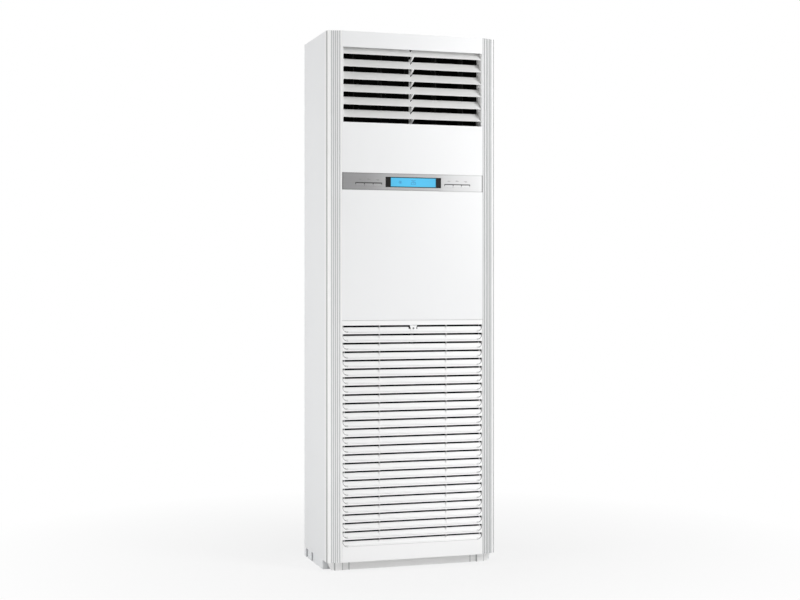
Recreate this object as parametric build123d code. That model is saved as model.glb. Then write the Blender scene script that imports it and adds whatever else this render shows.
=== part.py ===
from build123d import *
import math
import os

# Floor standing cabinet air conditioner.
# X to the right, Y to the back, Z up; the origin is the middle of the footprint, on the floor.

# ---------------------------------------------------------------- cabinet
cabinet_width = 600.0
cabinet_depth = 320.0
cabinet_height = 1805.0
base_height = 31.0          # feet and plinth, floor to the base pan
front_overhang = 37.0       # moulded front stands this far before the steel body
steel = 1.2                 # sheet of the pan, shelf, rear panel and housings
side_steel = 1.0            # sheet of the side panels
moulding = 2.5              # wall of the moulded front parts
seam = 0.3                  # visible joint line between neighbouring front parts
fit_gap = 0.2               # gap between pieces that seat beside each other
pivot_gap = 0.2             # radial gap round every pin that turns

pilaster_width = 49.0       # front of a pilaster, from the side to the front panel
grille_top = 838.0          # joint between return grille and front panel

# ---------------------------------------------------------------- front panel
outlet_frame = 4.0          # panel beside the outlet
outlet_drop = 53.0          # panel above the outlet
outlet_height = 251.0
panel_lip = 9.5             # depth of the lower lip, which the filters pass behind

# ---------------------------------------------------------------- pilasters
pilaster_setback = 11.5     # how far the face has sloped back at the outer corner
pilaster_corner = 8.0
pilaster_edge = 6.0         # from the sloped face's end to the side
flute_radius = 1.7
flute_offsets = (7.0, 14.3, 20.6, 27.0, 33.3)
corner_flute = 1.3          # radius of the groove along the outer corner

# ---------------------------------------------------------------- louvres
louvre_count = 6
louvre_head = 21.6          # front edge of the highest blade below the outlet's top
louvre_foot = 17.9          # front edge of the lowest blade above the outlet's sill
louvre_inset = 1.0          # front edge behind the panel's face
louvre_run = 32.0           # blade from front edge to back edge, front to back
louvre_rise = 28.0          # and upwards
louvre_edge = 1.4
louvre_middle = 3.0
louvre_pivot = (24.0, -5.7)     # pivot from the front edge: back, up
link_arm = (15.0, -6.0)         # link pin from the pivot: back, up
ear_thick = 2.5
ear_boss = 4.2
link_ear_thick = 4.5        # middle ear
link_boss = 4.4
link_chin = (37.3, -15.7)   # lower corner of the middle ear from the front edge
louvre_pin = 2.0
link_half = 5.0
link_thick = 2.3
link_end = 7.0
notch_depth = 15.0
notch_side = 0.6            # notch beyond the link and the ear
ear_notch_depth = 8.0       # for the ear of the blade above
pin_head = 1.2              # link pin beyond the link

cassette_depth = 43.3
cassette_foot = 9.0         # inside of the frame below the outlet
cassette_head = 15.0        # and above it

# ---------------------------------------------------------------- outlet duct and vanes
duct_wall = 5.0
duct_side = 8.0             # inside of the duct within the front's half width
duct_foot = 6.0             # top of the sill under the vanes, below the outlet
duct_head = 12.0            # lintel above the outlet
duct_drop = 51.0            # lower edge below the outlet
duct_rear_gap = 7.2         # duct to the rear panel
duct_bend = 95.0            # outer radius of the curved back corner
sill_height = 24.0
sill_depth = 57.0
vane_count = 5
vane_side = 47.0            # outer vanes from the duct's side
vane_chord = 50.0
vane_thick = 2.0
vane_setback = 76.0         # pivots behind the front face
vane_gap = 2.0              # vane to the sill and to the lintel
vane_pin = 2.5
vane_pin_length = 6.0
vane_arm = 20.0             # link pin behind the pivot
vane_cut = 14.0             # height of the cut-out for the link
vane_link_half = 4.0
vane_link_thick = 3.0
swing_motor_radius = 14.0
swing_motor_height = 18.0

# ---------------------------------------------------------------- control band
band_drop = 472.0           # band's upper edge below the top
band_height = 58.0
band_thick = 1.2
band_end = 1.0              # band short of the front panel's sides
bezel_half = 99.0
bezel_foot = 11.0           # bezel above the band's lower edge
bezel_height = 35.0
bezel_flange = 8.0
bezel_side = 19.0           # bezel beside the window
bezel_rim = 3.0             # and above and below it
window_lip = 1.2
window_thick = 2.0
window_rebate = 1.6
key_count = 3               # on each side
key_margin = 13.0           # nearest key from the bezel
key_pitch = 30.3
key_gap = 0.8
key_foot = 14.6             # keys above the band's lower edge
key_height = 8.0
key_slot_gap = 1.9          # slot above the keys
key_room = 1.0              # opening in the panel beyond the keys' flanges
key_depth = 2.4
key_travel = 1.0
key_flange = 2.0
key_stem = 3.0
board_gap = 7.5             # panel to circuit board
board_thick = 1.6
board_end = 11.1            # board beyond the last key
board_margin = 1.5          # board inside the band's height
switch_height = 3.2
switch_half = 3.0
display_depth = 4.0
board_post = 3.5

# ---------------------------------------------------------------- return grille
slot_count = 26
slot_drop = 20.1            # middle of the highest slot below the grille's top
slot_base = 71.9            # middle of the lowest slot above the grille's foot
slot_height = 6.5
slot_side = 4.0             # slots from the grille's sides
scoop_height = 16.0
scoop_depth = 7.0
scoop_corner = 16.0
scoop_wall = 2.0
scoop_groove = 1.4          # groove round each scoop, as wide as deep
rib_x = 119.0
rib_thick = 2.0
rib_front = 1.0             # rib behind the front face
rib_depth = 10.0
hinge_setback = 8.0         # hinge line behind the front face
hinge_height = 10.0         # and above the grille's lower edge
hinge_pin = 2.5
hinge_pin_length = 4.0
latch_drop = 28.0           # lock below the grille's top
latch_top_half = 13.0
latch_low_half = 9.0
latch_up = 10.0             # tab above the lock's middle
latch_down = 8.0
latch_slit = 1.8            # open beside the tab
latch_boss = 8.0
lock_radius = 3.3
lock_slot = 1.2
cam_start = 10.2            # cam's front face behind the front face
cam_thick = 3.0
cam_half = 4.0
cam_length = 36.0

# ---------------------------------------------------------------- filters
filter_inner = 6.0
filter_side = 11.0          # frame within the front's half width
filter_foot = 19.0          # frame above the grille's foot
filter_head = 10.0          # and below its top
filter_cam_gap = 2.8        # frame behind the lock's cam
filter_thick = 5.0
filter_rim = 8.0
filter_bars = 6
filter_bar = 3.0
filter_net = 0.8
rail_thick = 2.0
rail_lip = 5.0
rail_drop = 68.0            # rails end below the lock
post_web = 1.2              # half width of the middle post before the filters
post_gap = 3.0              # open behind each slot

# ---------------------------------------------------------------- blower
wheel_x = -30.0
wheel_z = 440.0
wheel_room = 43.0           # wheel to the scroll's first full quarter
blade_ring = 25.0           # blades from root to tip
wheel_setback = 16.5        # wheel behind the housing's front
wheel_clear = 20.0          # and before its back
wheel_disc = 2.0
wheel_blades = 36
blade_lean = 8.0            # degrees from root to tip, towards the rotation
blade_bow = 2.2             # degrees at mid height
blade_thick = 0.5           # degrees
hub_radius = 18.0
hub_setback = 29.5          # hub behind the wheel's front
hub_length = 30.0
dish_setback = 18.0         # dished back behind the hub's front
dish_foot = 66.0            # inner radius of the cone
dish_rim = 11.0             # its outer radius within the blades
shaft_radius = 6.0
shaft_gap = 0.05
shaft_nose = 4.0            # shaft before the hub
volute_step = 30.0          # growth of the scroll in each quarter turn
scroll_room = 45.8          # scroll to the side panel, for the pipes
tongue_offset = 118.0       # tongue wall from the wheel's axis
housing_room = 63.0         # housing behind the steel body's front
housing_rear = 45.2         # and before the rear panel
housing_flange = 12.0
housing_leg = 150.0
mouth_gap = 2.0             # hole in the housing round the bell mouth
throat_step = 6.0           # throat within the blades
mouth_flare = 18.0
ring_rim = 26.0
ring_length = 22.0          # throat's end behind the housing's front
bell_steps = 4
motor_radius = 60.0
motor_gap = 10.0            # motor behind the hub
motor_proud = 8.0           # motor behind the housing
motor_boss = 20.0
motor_flange_rim = 20.0
motor_flange_thick = 3.0
motor_room = 40.0           # opening in the housing round the motor
mount_rim = 18.0
mount_thick = 2.0
mount_hole = 14.0

# ---------------------------------------------------------------- coil and pipes
shelf_rise = 22.0           # shelf above the grille
shelf_rim = 20.0
pan_side = 50.8             # pan to the side panel
pan_gap = 4.0               # pan behind the steel body's front
pan_depth = 73.0
pan_height = 29.0
saddle_x = 150.0            # ribs in the pan that the coil rests on
saddle_half = 18.0
coil_side = 63.8            # coil to the side panel
coil_thick = 44.0
coil_spine = 6.0            # tube plane that carries the fins
fin_pitch = 8.0
fin_thick = 1.2
coil_foot_in = 32.0         # foot behind the pan's front
coil_foot_up = 16.0         # and above the shelf
coil_rear_room = 52.7       # coil's upper end to the rear panel
coil_top_room = 47.8        # and to the duct's lower edge
coil_plate = 1.5
coil_plate_margin = 3.0
bend_start = 40.0
bend_sides = 8
bend_pitch = 66.0
bend_radius = 12.5
bend_tube = 4.8
gas_radius = 9.525
liquid_radius = 4.76
gas_coil_drop = 160.0       # gas joint below the coil's upper end
liquid_coil_at = 100.0      # liquid joint above its foot
pipe_side_gap = 15.0        # gas pipe to the side panel
pipe_step = 6.0             # liquid pipe's run beside the gas pipe's
pipe_spread = 19.0          # pipes from the port's middle
pipe_lift = 12.0
pipe_rear_gap = 37.2        # pipes' ends before the rear panel
pipe_bend = 21.0
union_hex_length = 12.0
union_stub_length = 16.0
gas_hex = 15.0
liquid_hex = 9.5
gas_stub = 13.4
liquid_stub = 7.9
spigot_in = 34.0            # spigot behind the pan's front
spigot_radius = 10.0
spigot_bore = 8.0
spigot_length = 24.0
drain_wall = 2.2
drain_bend = 30.0
drain_lower = 24.0          # drain below the port's middle
drain_nozzle = 20.0
drain_nozzle_bore = 7.5
pipe_clear = 3.0            # holes in the shelf round the pipes

# ---------------------------------------------------------------- electrical box
box_left = -180.0
box_right = 230.0
box_height = 190.0
box_head = 2.0              # box below the shelf's rim
box_gap = 5.0               # box behind the steel body's front
cover_margin = 2.0
cover_rim = 10.0
terminal_in = 240.0         # terminals from the box's left side
terminal_width = 140.0
terminal_up = 22.0          # and above its floor
terminal_height = 26.0
terminal_depth = 18.0
terminal_ways = 6
capacitor_in = 60.0
capacitor_up = 42.0
capacitor_size = (60.0, 35.0, 45.0)

# ---------------------------------------------------------------- base and back
foot_width = 38.0
foot_wall = 3.0
foot_setback = 66.0         # front feet behind the front face
foot_rear = 3.0             # rear feet before the back
foot_middle = 48.0
foot_short = 22.0
foot_gap_front = 24.0
foot_gap_rear = 29.0
plinth_side = 6.0           # plinth within the sides
plinth_lean = 15.0          # further in at the floor
plinth_setback = 2.0        # plinth before the steel body
plinth_flange = 25.0
plinth_block = 27.0         # width of the two raised blocks
plinth_block_side = 33.0    # and from the sides
plinth_block_proud = 4.0
plinth_middle_side = 83.0
plinth_middle_proud = 1.5
pan_rim = 22.0
anchor_side = 70.0          # anchor holes from the sides
anchor_front_in = 90.0      # from the front
anchor_back_in = 50.0       # and from the back
anchor_radius = 5.0
post_width = 50.0           # front return of a side panel
rear_return = 16.0
rear_inset = 1.6            # rear panel's face inside the overall depth, for the screw heads
port_side = 91.0            # pipe port's middle from the side
port_z = 130.0
port_radius = 46.0
grommet_side = 85.0
grommet_hole = 14.0
grommet_outer = 18.0
grommet_bore = 9.0
grommet_lip = 1.6
tie_side = 100.0
tie_drop = 35.0
tie_radius = 3.5
tie_length = 16.0
cover_depth = 18.0          # rim of the top cover
screw_rows = 6
screw_end = 60.0            # outer rows from the panel's ends
screw_inset = 8.0
screw_head = 4.0
screw_shank = 1.9
screw_hole = 2.2
screw_length = 9.0
bead_width = 18.0
bead_line = 3.0
bead_low = 330.0
bead_space = 310.0
bead_drop = 205.0           # upper beads below the top
bead_proud = 1.2

# ---------------------------------------------------------------- worked out from the above
side = cabinet_width / 2
front = -cabinet_depth / 2
back = cabinet_depth / 2
body_front = front + front_overhang
rear_face = back - rear_inset
rear_inner = rear_face - steel
panel_back = front + moulding
inner_half = side - side_steel - fit_gap
deck = base_height + steel
front_half = side - pilaster_width      # half width of the front between the pilasters
port_x = port_side - side

foot_rear_y = (back - foot_rear - foot_short, back - foot_rear)
foot_middle_y = (foot_rear_y[0] - foot_gap_rear - foot_middle, foot_rear_y[0] - foot_gap_rear)
foot_front_y = (front + foot_setback, foot_middle_y[0] - foot_gap_front)
plinth_top_half = side - plinth_side
plinth_foot_half = plinth_top_half - plinth_lean

outlet_half = front_half - outlet_frame
outlet_high = cabinet_height - outlet_drop
outlet_low = outlet_high - outlet_height
cassette_front = panel_back + fit_gap
cassette_back = cassette_front + cassette_depth
cassette_half = front_half - seam - moulding - fit_gap
cassette_inner = cassette_half - moulding
cassette_low = outlet_low - cassette_foot
cassette_high = outlet_high + cassette_head
blade_half = cassette_inner - 1.0
louvre_pitch = (outlet_height - louvre_head - louvre_foot) / (louvre_count - 1)
louvre_top_edge = outlet_high - louvre_head
duct_half = front_half - duct_side
duct_sill = outlet_low - duct_foot
duct_lintel = outlet_high + duct_head
duct_low = outlet_low - duct_drop
duct_back = rear_inner - duct_rear_gap
vane_pivot_y = front + vane_setback
vane_pitch = 2 * (duct_half - vane_side) / (vane_count - 1)

band_high = cabinet_height - band_drop
band_low = band_high - band_height
bezel_low = band_low + bezel_foot
bezel_high = bezel_low + bezel_height
window_half = bezel_half - bezel_side
window_low = bezel_low + bezel_rim
window_high = bezel_high - bezel_rim
key_start = bezel_half + key_margin
key_low = band_low + key_foot
key_high = key_low + key_height
key_slot_top = key_high + key_slot_gap
board_half = key_start + key_count * key_pitch + board_end

grille_low = base_height
grille_half = front_half - 2 * seam
slot_half = front_half - slot_side
slot_first = grille_top - slot_drop
slot_pitch = (slot_first - slot_base - grille_low) / (slot_count - 1)
latch_z = grille_top - latch_drop
latch_high = latch_z + latch_up
latch_low = latch_z - latch_down
filter_front = cam_start + cam_thick + filter_cam_gap
filter_outer = front_half - filter_side
filter_low = grille_low + filter_foot
filter_high = grille_top - filter_head
rail_start = front + scoop_depth + scoop_wall / 4
grille_depth = filter_front + filter_thick + rail_thick
grille_top_lip = cam_start - fit_gap - 0.5
hinge_y = front + hinge_setback
hinge_z = grille_low + hinge_height

housing_front = body_front + housing_room
housing_back = rear_inner - housing_rear
volute_radius = inner_half + wheel_x - volute_step / 2 - scroll_room
volute_left = wheel_x + tongue_offset
volute_right = wheel_x + volute_step / 2 + volute_radius + 2 * volute_step
wheel_radius = volute_radius - wheel_room
wheel_bore = wheel_radius - blade_ring
wheel_front = housing_front + wheel_setback
wheel_back = housing_back - wheel_clear
hub_front = wheel_front + hub_setback
hub_back = hub_front + hub_length
dish_y = hub_front + dish_setback
motor_front = hub_back + motor_gap
motor_back = housing_back + motor_proud
motor_opening = motor_radius + motor_room
motor_flange = motor_radius + motor_flange_rim
mount_radius = motor_opening + mount_rim
mount_hole_circle = (motor_flange + motor_opening) / 2
ring_throat = wheel_bore - throat_step
ring_mouth = ring_throat + mouth_flare
ring_flange = ring_mouth + ring_rim
ring_end = housing_front + ring_length
housing_hole = ring_mouth + mouth_gap

shelf_z = grille_top + shelf_rise
shelf_top = shelf_z + steel
pan_half = inner_half - pan_side
pan_front = body_front + pan_gap
pan_back = pan_front + pan_depth
coil_half = inner_half - coil_side
coil_foot_y = pan_front + coil_foot_in
coil_foot_z = shelf_z + coil_foot_up
coil_reach = rear_inner - coil_rear_room - coil_foot_y
coil_rise = duct_low - coil_top_room - coil_foot_z
coil_tilt = math.degrees(math.atan2(coil_reach, coil_rise))
coil_length = math.hypot(coil_reach, coil_rise)
gas_coil_at = coil_length - gas_coil_drop
gas_run_x = pipe_side_gap + gas_radius - inner_half
liquid_run_x = gas_run_x + pipe_step
gas_out_x = port_x - pipe_spread
liquid_out_x = port_x + pipe_spread
pipe_out_z = port_z + pipe_lift
pipe_end_y = rear_inner - pipe_rear_gap
drain_z = port_z - drain_lower
spigot_y = pan_front + spigot_in
drain_end_y = pipe_end_y + union_hex_length + union_stub_length

box_high = shelf_z - shelf_rim - box_head
box_low = box_high - box_height
box_front = body_front + box_gap


# ---------------------------------------------------------------- helpers
def block(x, y, z):
    """Box between a low and a high value on each axis."""
    size = Box(x[1] - x[0], y[1] - y[0], z[1] - z[0])
    return Pos((x[0] + x[1]) / 2, (y[0] + y[1]) / 2, (z[0] + z[1]) / 2) * size


def about(middle, half):
    return (middle - half, middle + half)


def outline(*points):
    return make_face(Polyline(*points, close=True))


def rectangle(x, z):
    return Pos((x[0] + x[1]) / 2, (z[0] + z[1]) / 2) * Rectangle(x[1] - x[0], z[1] - z[0])


def along_x(sketch, x):
    """Carry a sketch drawn in (Y, Z) from one X to another."""
    return extrude(Plane.YZ.offset(x[0]) * sketch, amount=x[1] - x[0], dir=(1, 0, 0))


def along_y(sketch, y):
    """Carry a sketch drawn in (X, Z) from one Y to another."""
    return extrude(Plane.XZ.offset(-y[0]) * sketch, amount=y[1] - y[0], dir=(0, 1, 0))


def along_z(sketch, z):
    """Carry a sketch drawn in (X, Y) from one Z to another."""
    return extrude(Plane.XY.offset(z[0]) * sketch, amount=z[1] - z[0], dir=(0, 0, 1))


def rod_x(y, z, radius, x):
    return along_x(Pos(y, z) * Circle(radius), x)


def rod_y(x, z, radius, y):
    return along_y(Pos(x, z) * Circle(radius), y)


def rod_z(x, y, radius, z):
    return along_z(Pos(x, y) * Circle(radius), z)


def turned(x, z, *profile):
    """Revolve a profile of (radius, Y) points about the line along Y through X, Z."""
    plane = Plane(origin=(x, 0, z), x_dir=(1, 0, 0), z_dir=(0, 0, 1))
    return revolve(plane * outline(*profile), Axis((x, 0, z), (0, 1, 0)))


def mirrored(part):
    return mirror(part, about=Plane.YZ)


def rounded(x, z, radius):
    """Rectangle with all corners rounded."""
    shape = RectangleRounded(x[1] - x[0], z[1] - z[0], radius)
    return Pos((x[0] + x[1]) / 2, (z[0] + z[1]) / 2) * shape


parts = {}


def keep(name, *solids):
    """Write one node; several solids stay separate in it."""
    shape = solids[0] if len(solids) == 1 else Compound(children=list(solids))
    parts[name] = shape


# ---------------------------------------------------------------- base
def base_pan():
    x = (-inner_half, inner_half)
    y = (body_front + side_steel + fit_gap, rear_inner - side_steel - fit_gap)
    tray = block(x, y, (base_height, deck + pan_rim))
    tray -= block((x[0] + steel, x[1] - steel), (y[0] + steel, y[1] - steel), (deck, deck + pan_rim + 1))
    for hole_x in (anchor_side - side, side - anchor_side):
        for hole_y in (front + anchor_front_in, back - anchor_back_in):
            tray -= rod_z(hole_x, hole_y, anchor_radius, (base_height - 1, deck + 1))
    return tray


def base_feet():
    """Six hollow feet in a row under each side, open upwards against the pan."""
    feet = []
    for span in (foot_front_y, foot_middle_y, foot_rear_y):
        foot = block((side - foot_width, side), span, (0, base_height))
        hollow_x = (side - foot_width + foot_wall, side - foot_wall)
        foot -= block(hollow_x, (span[0] + foot_wall, span[1] - foot_wall), (foot_wall, base_height + 1))
        feet += [foot, mirrored(foot)]
    return feet


def base_plinth():
    """Front skirt with ends that lean in, a raised middle and two raised blocks."""
    face = body_front - plinth_setback
    ends = outline((-plinth_top_half, base_height), (plinth_top_half, base_height),
                   (plinth_foot_half, 0), (-plinth_foot_half, 0))
    skirt = along_y(ends, (face, face + steel))
    skirt += block((-plinth_top_half, plinth_top_half), (face, face + plinth_flange),
                   (base_height - steel, base_height))
    middle = about(0, side - plinth_middle_side)
    skirt += block(middle, (face - plinth_middle_proud, face), (0, base_height - seam))
    outer = side - plinth_block_side
    for ends_x in ((outer - plinth_block, outer), (-outer, plinth_block - outer)):
        skirt += block(ends_x, (face - plinth_block_proud, face), (0, base_height - seam))
    return skirt


# ---------------------------------------------------------------- steel body
def screw_heights():
    step = (cabinet_height - base_height - 2 * screw_end) / (screw_rows - 1)
    return [base_height + screw_end + step * row for row in range(screw_rows)]


def side_panel():
    """Right side panel: sheet with a wide front return and a narrow rear one."""
    section = outline((side, body_front), (side, rear_inner), (side - rear_return, rear_inner),
                      (side - rear_return, rear_inner - side_steel),
                      (side - side_steel, rear_inner - side_steel),
                      (side - side_steel, body_front + side_steel),
                      (side - post_width, body_front + side_steel), (side - post_width, body_front))
    panel = along_z(section, (base_height, cabinet_height))
    for z in screw_heights():
        panel -= rod_y(side - screw_inset, z, screw_hole, (rear_inner - 2, rear_inner + 1))
    return panel


def rear_panel():
    panel = block((-side, side), (rear_inner, rear_face), (base_height, cabinet_height))
    cuts = (rear_inner - 1, rear_face + 1)
    panel -= rod_y(port_x, port_z, port_radius, cuts)
    panel -= rod_y(side - grommet_side, port_z, grommet_hole, cuts)
    for x in (-side + screw_inset, side - screw_inset):
        for z in screw_heights():
            panel -= rod_y(x, z, screw_hole, cuts)
    tie_x = side - tie_side
    for x in (-tie_x, tie_x):
        panel -= along_y(Pos(x, cabinet_height - tie_drop) * SlotOverall(tie_length, 2 * tie_radius), cuts)
    height = (cabinet_height - bead_drop - bead_low - bead_space) / 2
    half = bead_width / 2
    for x in (-tie_x, 0, tie_x):
        for low in (bead_low, bead_low + height + bead_space):
            bead = rounded(about(x, half), (low, low + height), half - fit_gap)
            panel += along_y(bead, (rear_face, rear_face + bead_proud))
            inner = rounded(about(x, half - bead_line), (low + bead_line, low + height - bead_line),
                            half - bead_line - fit_gap)
            panel -= along_y(inner, (rear_inner - 1, rear_inner + bead_proud))
    return panel


def cabinet_screws():
    screws = []
    for x in (-side + screw_inset, side - screw_inset):
        for z in screw_heights():
            head = rod_y(x, z, screw_head, (rear_face, rear_face + rear_inset))
            screws.append(head + rod_y(x, z, screw_shank, (rear_face - screw_length, rear_face)))
    return screws


def top_cover():
    x = (-inner_half, inner_half)
    y = (body_front + side_steel + fit_gap, rear_inner - side_steel - fit_gap)
    low = cabinet_height - steel - cover_depth
    cover = block(x, y, (low, cabinet_height))
    cover -= block((x[0] + steel, x[1] - steel), (y[0] + steel, y[1] - steel),
                   (low - 1, cabinet_height - steel))
    return cover


def partition_shelf():
    """Shelf that carries the drain pan and closes the blower space at the top."""
    x = (-inner_half, inner_half)
    y = (body_front + side_steel + fit_gap, rear_inner - side_steel - fit_gap)
    shelf = block(x, y, (shelf_z, shelf_top))
    shelf += block(x, (y[0], y[0] + steel), (shelf_z - shelf_rim, shelf_top))
    for edge in (x[0], x[1] - steel):
        shelf += block((edge, edge + steel), y, (shelf_z, shelf_z + shelf_rim))
    cuts = (shelf_z - 1, shelf_top + 1)
    shelf -= block((volute_left + steel, volute_right - steel),
                   (housing_front + steel, housing_back - steel), cuts)
    gas_y = coil_point(gas_coil_at)[0]
    liquid_y = coil_point(liquid_coil_at)[0]
    shelf -= rod_z(gas_run_x, gas_y, gas_radius + pipe_clear, cuts)
    shelf -= rod_z(liquid_run_x, liquid_y, liquid_radius + pipe_clear, cuts)
    shelf -= rod_z(port_x, spigot_y, spigot_radius + pipe_clear, cuts)
    return shelf


# ---------------------------------------------------------------- moulded front
def pilaster():
    """Right pilaster: fluted face that slopes back, rounded corner and two returns."""
    inner = front_half
    outer_front = front + pilaster_setback
    face = outline((inner, front), (side - pilaster_edge, outer_front),
                   (side, outer_front + pilaster_corner), (side, body_front), (inner, body_front))
    hollow = outline((inner + moulding, front + moulding + 0.6),
                     (side - pilaster_edge - 1.5, outer_front + moulding),
                     (side - moulding - 0.4, outer_front + pilaster_corner + 1),
                     (side - moulding, outer_front + pilaster_corner + 3),
                     (side - moulding, body_front + 1), (inner + moulding, body_front + 1))
    slope = pilaster_setback / (side - pilaster_edge - inner)
    for offset in flute_offsets:
        face -= Pos(inner + offset, front + slope * offset) * Circle(flute_radius)
    face -= Pos(side, outer_front + pilaster_corner) * Circle(corner_flute)
    column = along_z(face, (base_height, cabinet_height))
    column -= along_z(hollow, (base_height + moulding, cabinet_height - moulding))
    column -= rod_x(hinge_y, hinge_z, hinge_pin + pivot_gap, (inner - 1, inner + moulding + 3))
    return column


def front_panel():
    half = front_half - seam
    z = (grille_top + seam, cabinet_height)
    panel = block((-half, half), (front, body_front), z)
    panel -= block((-half + moulding, half - moulding), (panel_back, body_front + 1),
                   (z[0] + moulding, z[1] - moulding))
    panel -= block((-half + moulding, half - moulding), (front + panel_lip, body_front + 1),
                   (z[0] - 1, z[0] + moulding + 1))
    through = (front - 1, panel_back + 1)
    panel -= block((-outlet_half, outlet_half), through, (outlet_low, outlet_high))
    panel -= block((-half - 1, half + 1), (front - 1, front + band_thick), (band_low, band_high))
    panel -= block((-bezel_half - fit_gap, bezel_half + fit_gap), through,
                   (bezel_low - fit_gap, bezel_high + fit_gap))
    keys_x = (key_start - key_flange, key_start + key_count * key_pitch + key_flange)
    keys_z = (key_low - key_flange - key_room, key_high + key_flange + key_room)
    panel -= block(keys_x, through, keys_z)
    panel -= block((-keys_x[1], -keys_x[0]), through, keys_z)
    post_x = board_half - board_post - 1
    for x in (-post_x, post_x):
        for post_z in (band_low + board_post + 3, band_high - board_post - 3):
            panel += rod_y(x, post_z, board_post, (panel_back, panel_back + board_gap))
    return panel


def control_fascia():
    half = front_half - seam - band_end
    plate = block((-half, half), (front, front + band_thick), (band_low + seam, band_high - seam))
    through = (front - 1, front + band_thick + 1)
    plate -= block((-bezel_half, bezel_half), through, (bezel_low, bezel_high))
    slot = (key_start, key_start + key_count * key_pitch)
    plate -= block(slot, through, (key_low - fit_gap, key_slot_top))
    plate -= block((-slot[1], -slot[0]), through, (key_low - fit_gap, key_slot_top))
    return plate


def display_bezel():
    """Black frame whose flange lies behind the panel and whose rebate holds the window."""
    half = bezel_half - fit_gap
    low = bezel_low + fit_gap
    high = bezel_high - fit_gap
    frame = block((-half, half), (front, panel_back + 1.5), (low, high))
    frame += block((-half - bezel_flange, half + bezel_flange), (panel_back, panel_back + 1.5),
                   (low - bezel_flange / 2, high + bezel_flange / 2))
    frame -= block((-window_half, window_half), (front - 1, panel_back + 2), (window_low, window_high))
    rebate = window_rebate
    frame -= block((-window_half - rebate, window_half + rebate), (front + window_lip, panel_back + 2),
                   (window_low - rebate, window_high + rebate))
    return frame


def display_window():
    margin = window_rebate - fit_gap
    y = (front + window_lip, front + window_lip + window_thick)
    return block(about(0, window_half + margin), y, (window_low - margin, window_high + margin))


def key_middle(number):
    """X of a key's middle: 1 to 3 left of the display, 4 to 6 right of it."""
    index = number - 1 if number <= key_count else number - key_count - 1
    if number <= key_count:
        return -(key_start + (key_count - 0.5 - index) * key_pitch)
    return key_start + (index + 0.5) * key_pitch


def control_board():
    y = (panel_back + board_gap, panel_back + board_gap + board_thick)
    z = (band_low + board_margin, band_high - board_margin)
    board = block((-board_half, board_half), y, z)
    display = block((-window_half, window_half), (y[0] - display_depth, y[0]), (window_low, window_high))
    board += display
    for number in range(1, 2 * key_count + 1):
        middle = key_middle(number)
        height = (key_low + key_high) / 2
        board += block(about(middle, switch_half), (y[0] - switch_height, y[0]), about(height, switch_half))
    return board


def control_key(number):
    middle = key_middle(number)
    half = (key_pitch - key_gap) / 2
    y = (front + 0.1, front + band_thick + key_gap / 2)
    key = block(about(middle, half), y, (key_low, key_high))
    flange = (y[1] - 0.1, front + key_depth + 0.6)
    key += block(about(middle, half), flange, (key_low - key_flange, key_high + key_flange))
    stem_end = panel_back + board_gap - switch_height - key_travel - 0.3
    key += rod_y(middle, (key_low + key_high) / 2, key_stem / 2, (flange[1] - 0.5, stem_end))
    return key


# ---------------------------------------------------------------- outlet
def louvre_edge_at(number):
    """Y and Z of a blade's front edge; blade 1 is the highest."""
    return (front + louvre_inset, louvre_top_edge - (number - 1) * louvre_pitch)


def louvre_pivot_at(number):
    y, z = louvre_edge_at(number)
    return (y + louvre_pivot[0], z + louvre_pivot[1])


def link_pin_at(number):
    y, z = louvre_pivot_at(number)
    return (y + link_arm[0], z + link_arm[1])


def louvre_blade(number):
    """Blade with a flat face, a bowed back, two end ears with pins and the middle ear."""
    y, z = louvre_edge_at(number)
    chord = math.hypot(louvre_run, louvre_rise)
    along = (louvre_run / chord, louvre_rise / chord)
    under = (along[1], -along[0])

    def spot(distance, depth):
        return (y + along[0] * distance + under[0] * depth, z + along[1] * distance + under[1] * depth)

    edges = [Line(spot(0, 0), spot(chord, 0)), Line(spot(chord, 0), spot(chord, louvre_edge)),
             ThreePointArc(spot(chord, louvre_edge), spot(chord / 2, louvre_middle), spot(0, louvre_edge)),
             Line(spot(0, louvre_edge), spot(0, 0))]
    blade = along_x(make_face(edges), (-blade_half, blade_half))
    pivot = louvre_pivot_at(number)
    pin = link_pin_at(number)
    end_ear = outline(spot(3, 0.7), spot(0.62 * chord, 0.7), pivot) + Pos(*pivot) * Circle(ear_boss)
    middle_ear = outline(spot(1, 0.7), spot(0.55 * chord, 0.7), pin, (y + link_chin[0], z + link_chin[1]))
    middle_ear += Pos(*pin) * Circle(link_boss)
    for depth, x in ((notch_depth, (-seam - link_thick - pin_head - notch_side, 0)),
                     (ear_notch_depth, (0, link_ear_thick + notch_side))):
        notch = outline(spot(chord - depth, -1), spot(chord + 1, -1),
                        spot(chord + 1, louvre_middle + 1), spot(chord - depth, louvre_middle + 1))
        blade -= along_x(notch, x)
    blade += along_x(middle_ear, (0, link_ear_thick))
    blade += rod_x(*pin, louvre_pin, (-seam - link_thick - pin_head, 0))
    for ear in ((blade_half - ear_thick, blade_half), (-blade_half, -blade_half + ear_thick)):
        blade += along_x(end_ear, ear)
    blade += rod_x(*pivot, louvre_pin, (blade_half, cassette_half))
    blade += rod_x(*pivot, louvre_pin, (-cassette_half, -blade_half))
    return blade


def louvre_link():
    y, top = link_pin_at(1)
    low = link_pin_at(louvre_count)[1]
    middle = (top + low) / 2
    strap = Pos(y, middle) * Rot(0, 0, 90) * SlotOverall(top - low + 2 * link_end, 2 * link_half)
    bar = along_x(strap, (-seam - link_thick, -seam))
    for number in range(1, louvre_count + 1):
        bar -= rod_x(*link_pin_at(number), louvre_pin + pivot_gap, (-seam - link_thick - 1, 1))
    return bar


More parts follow.
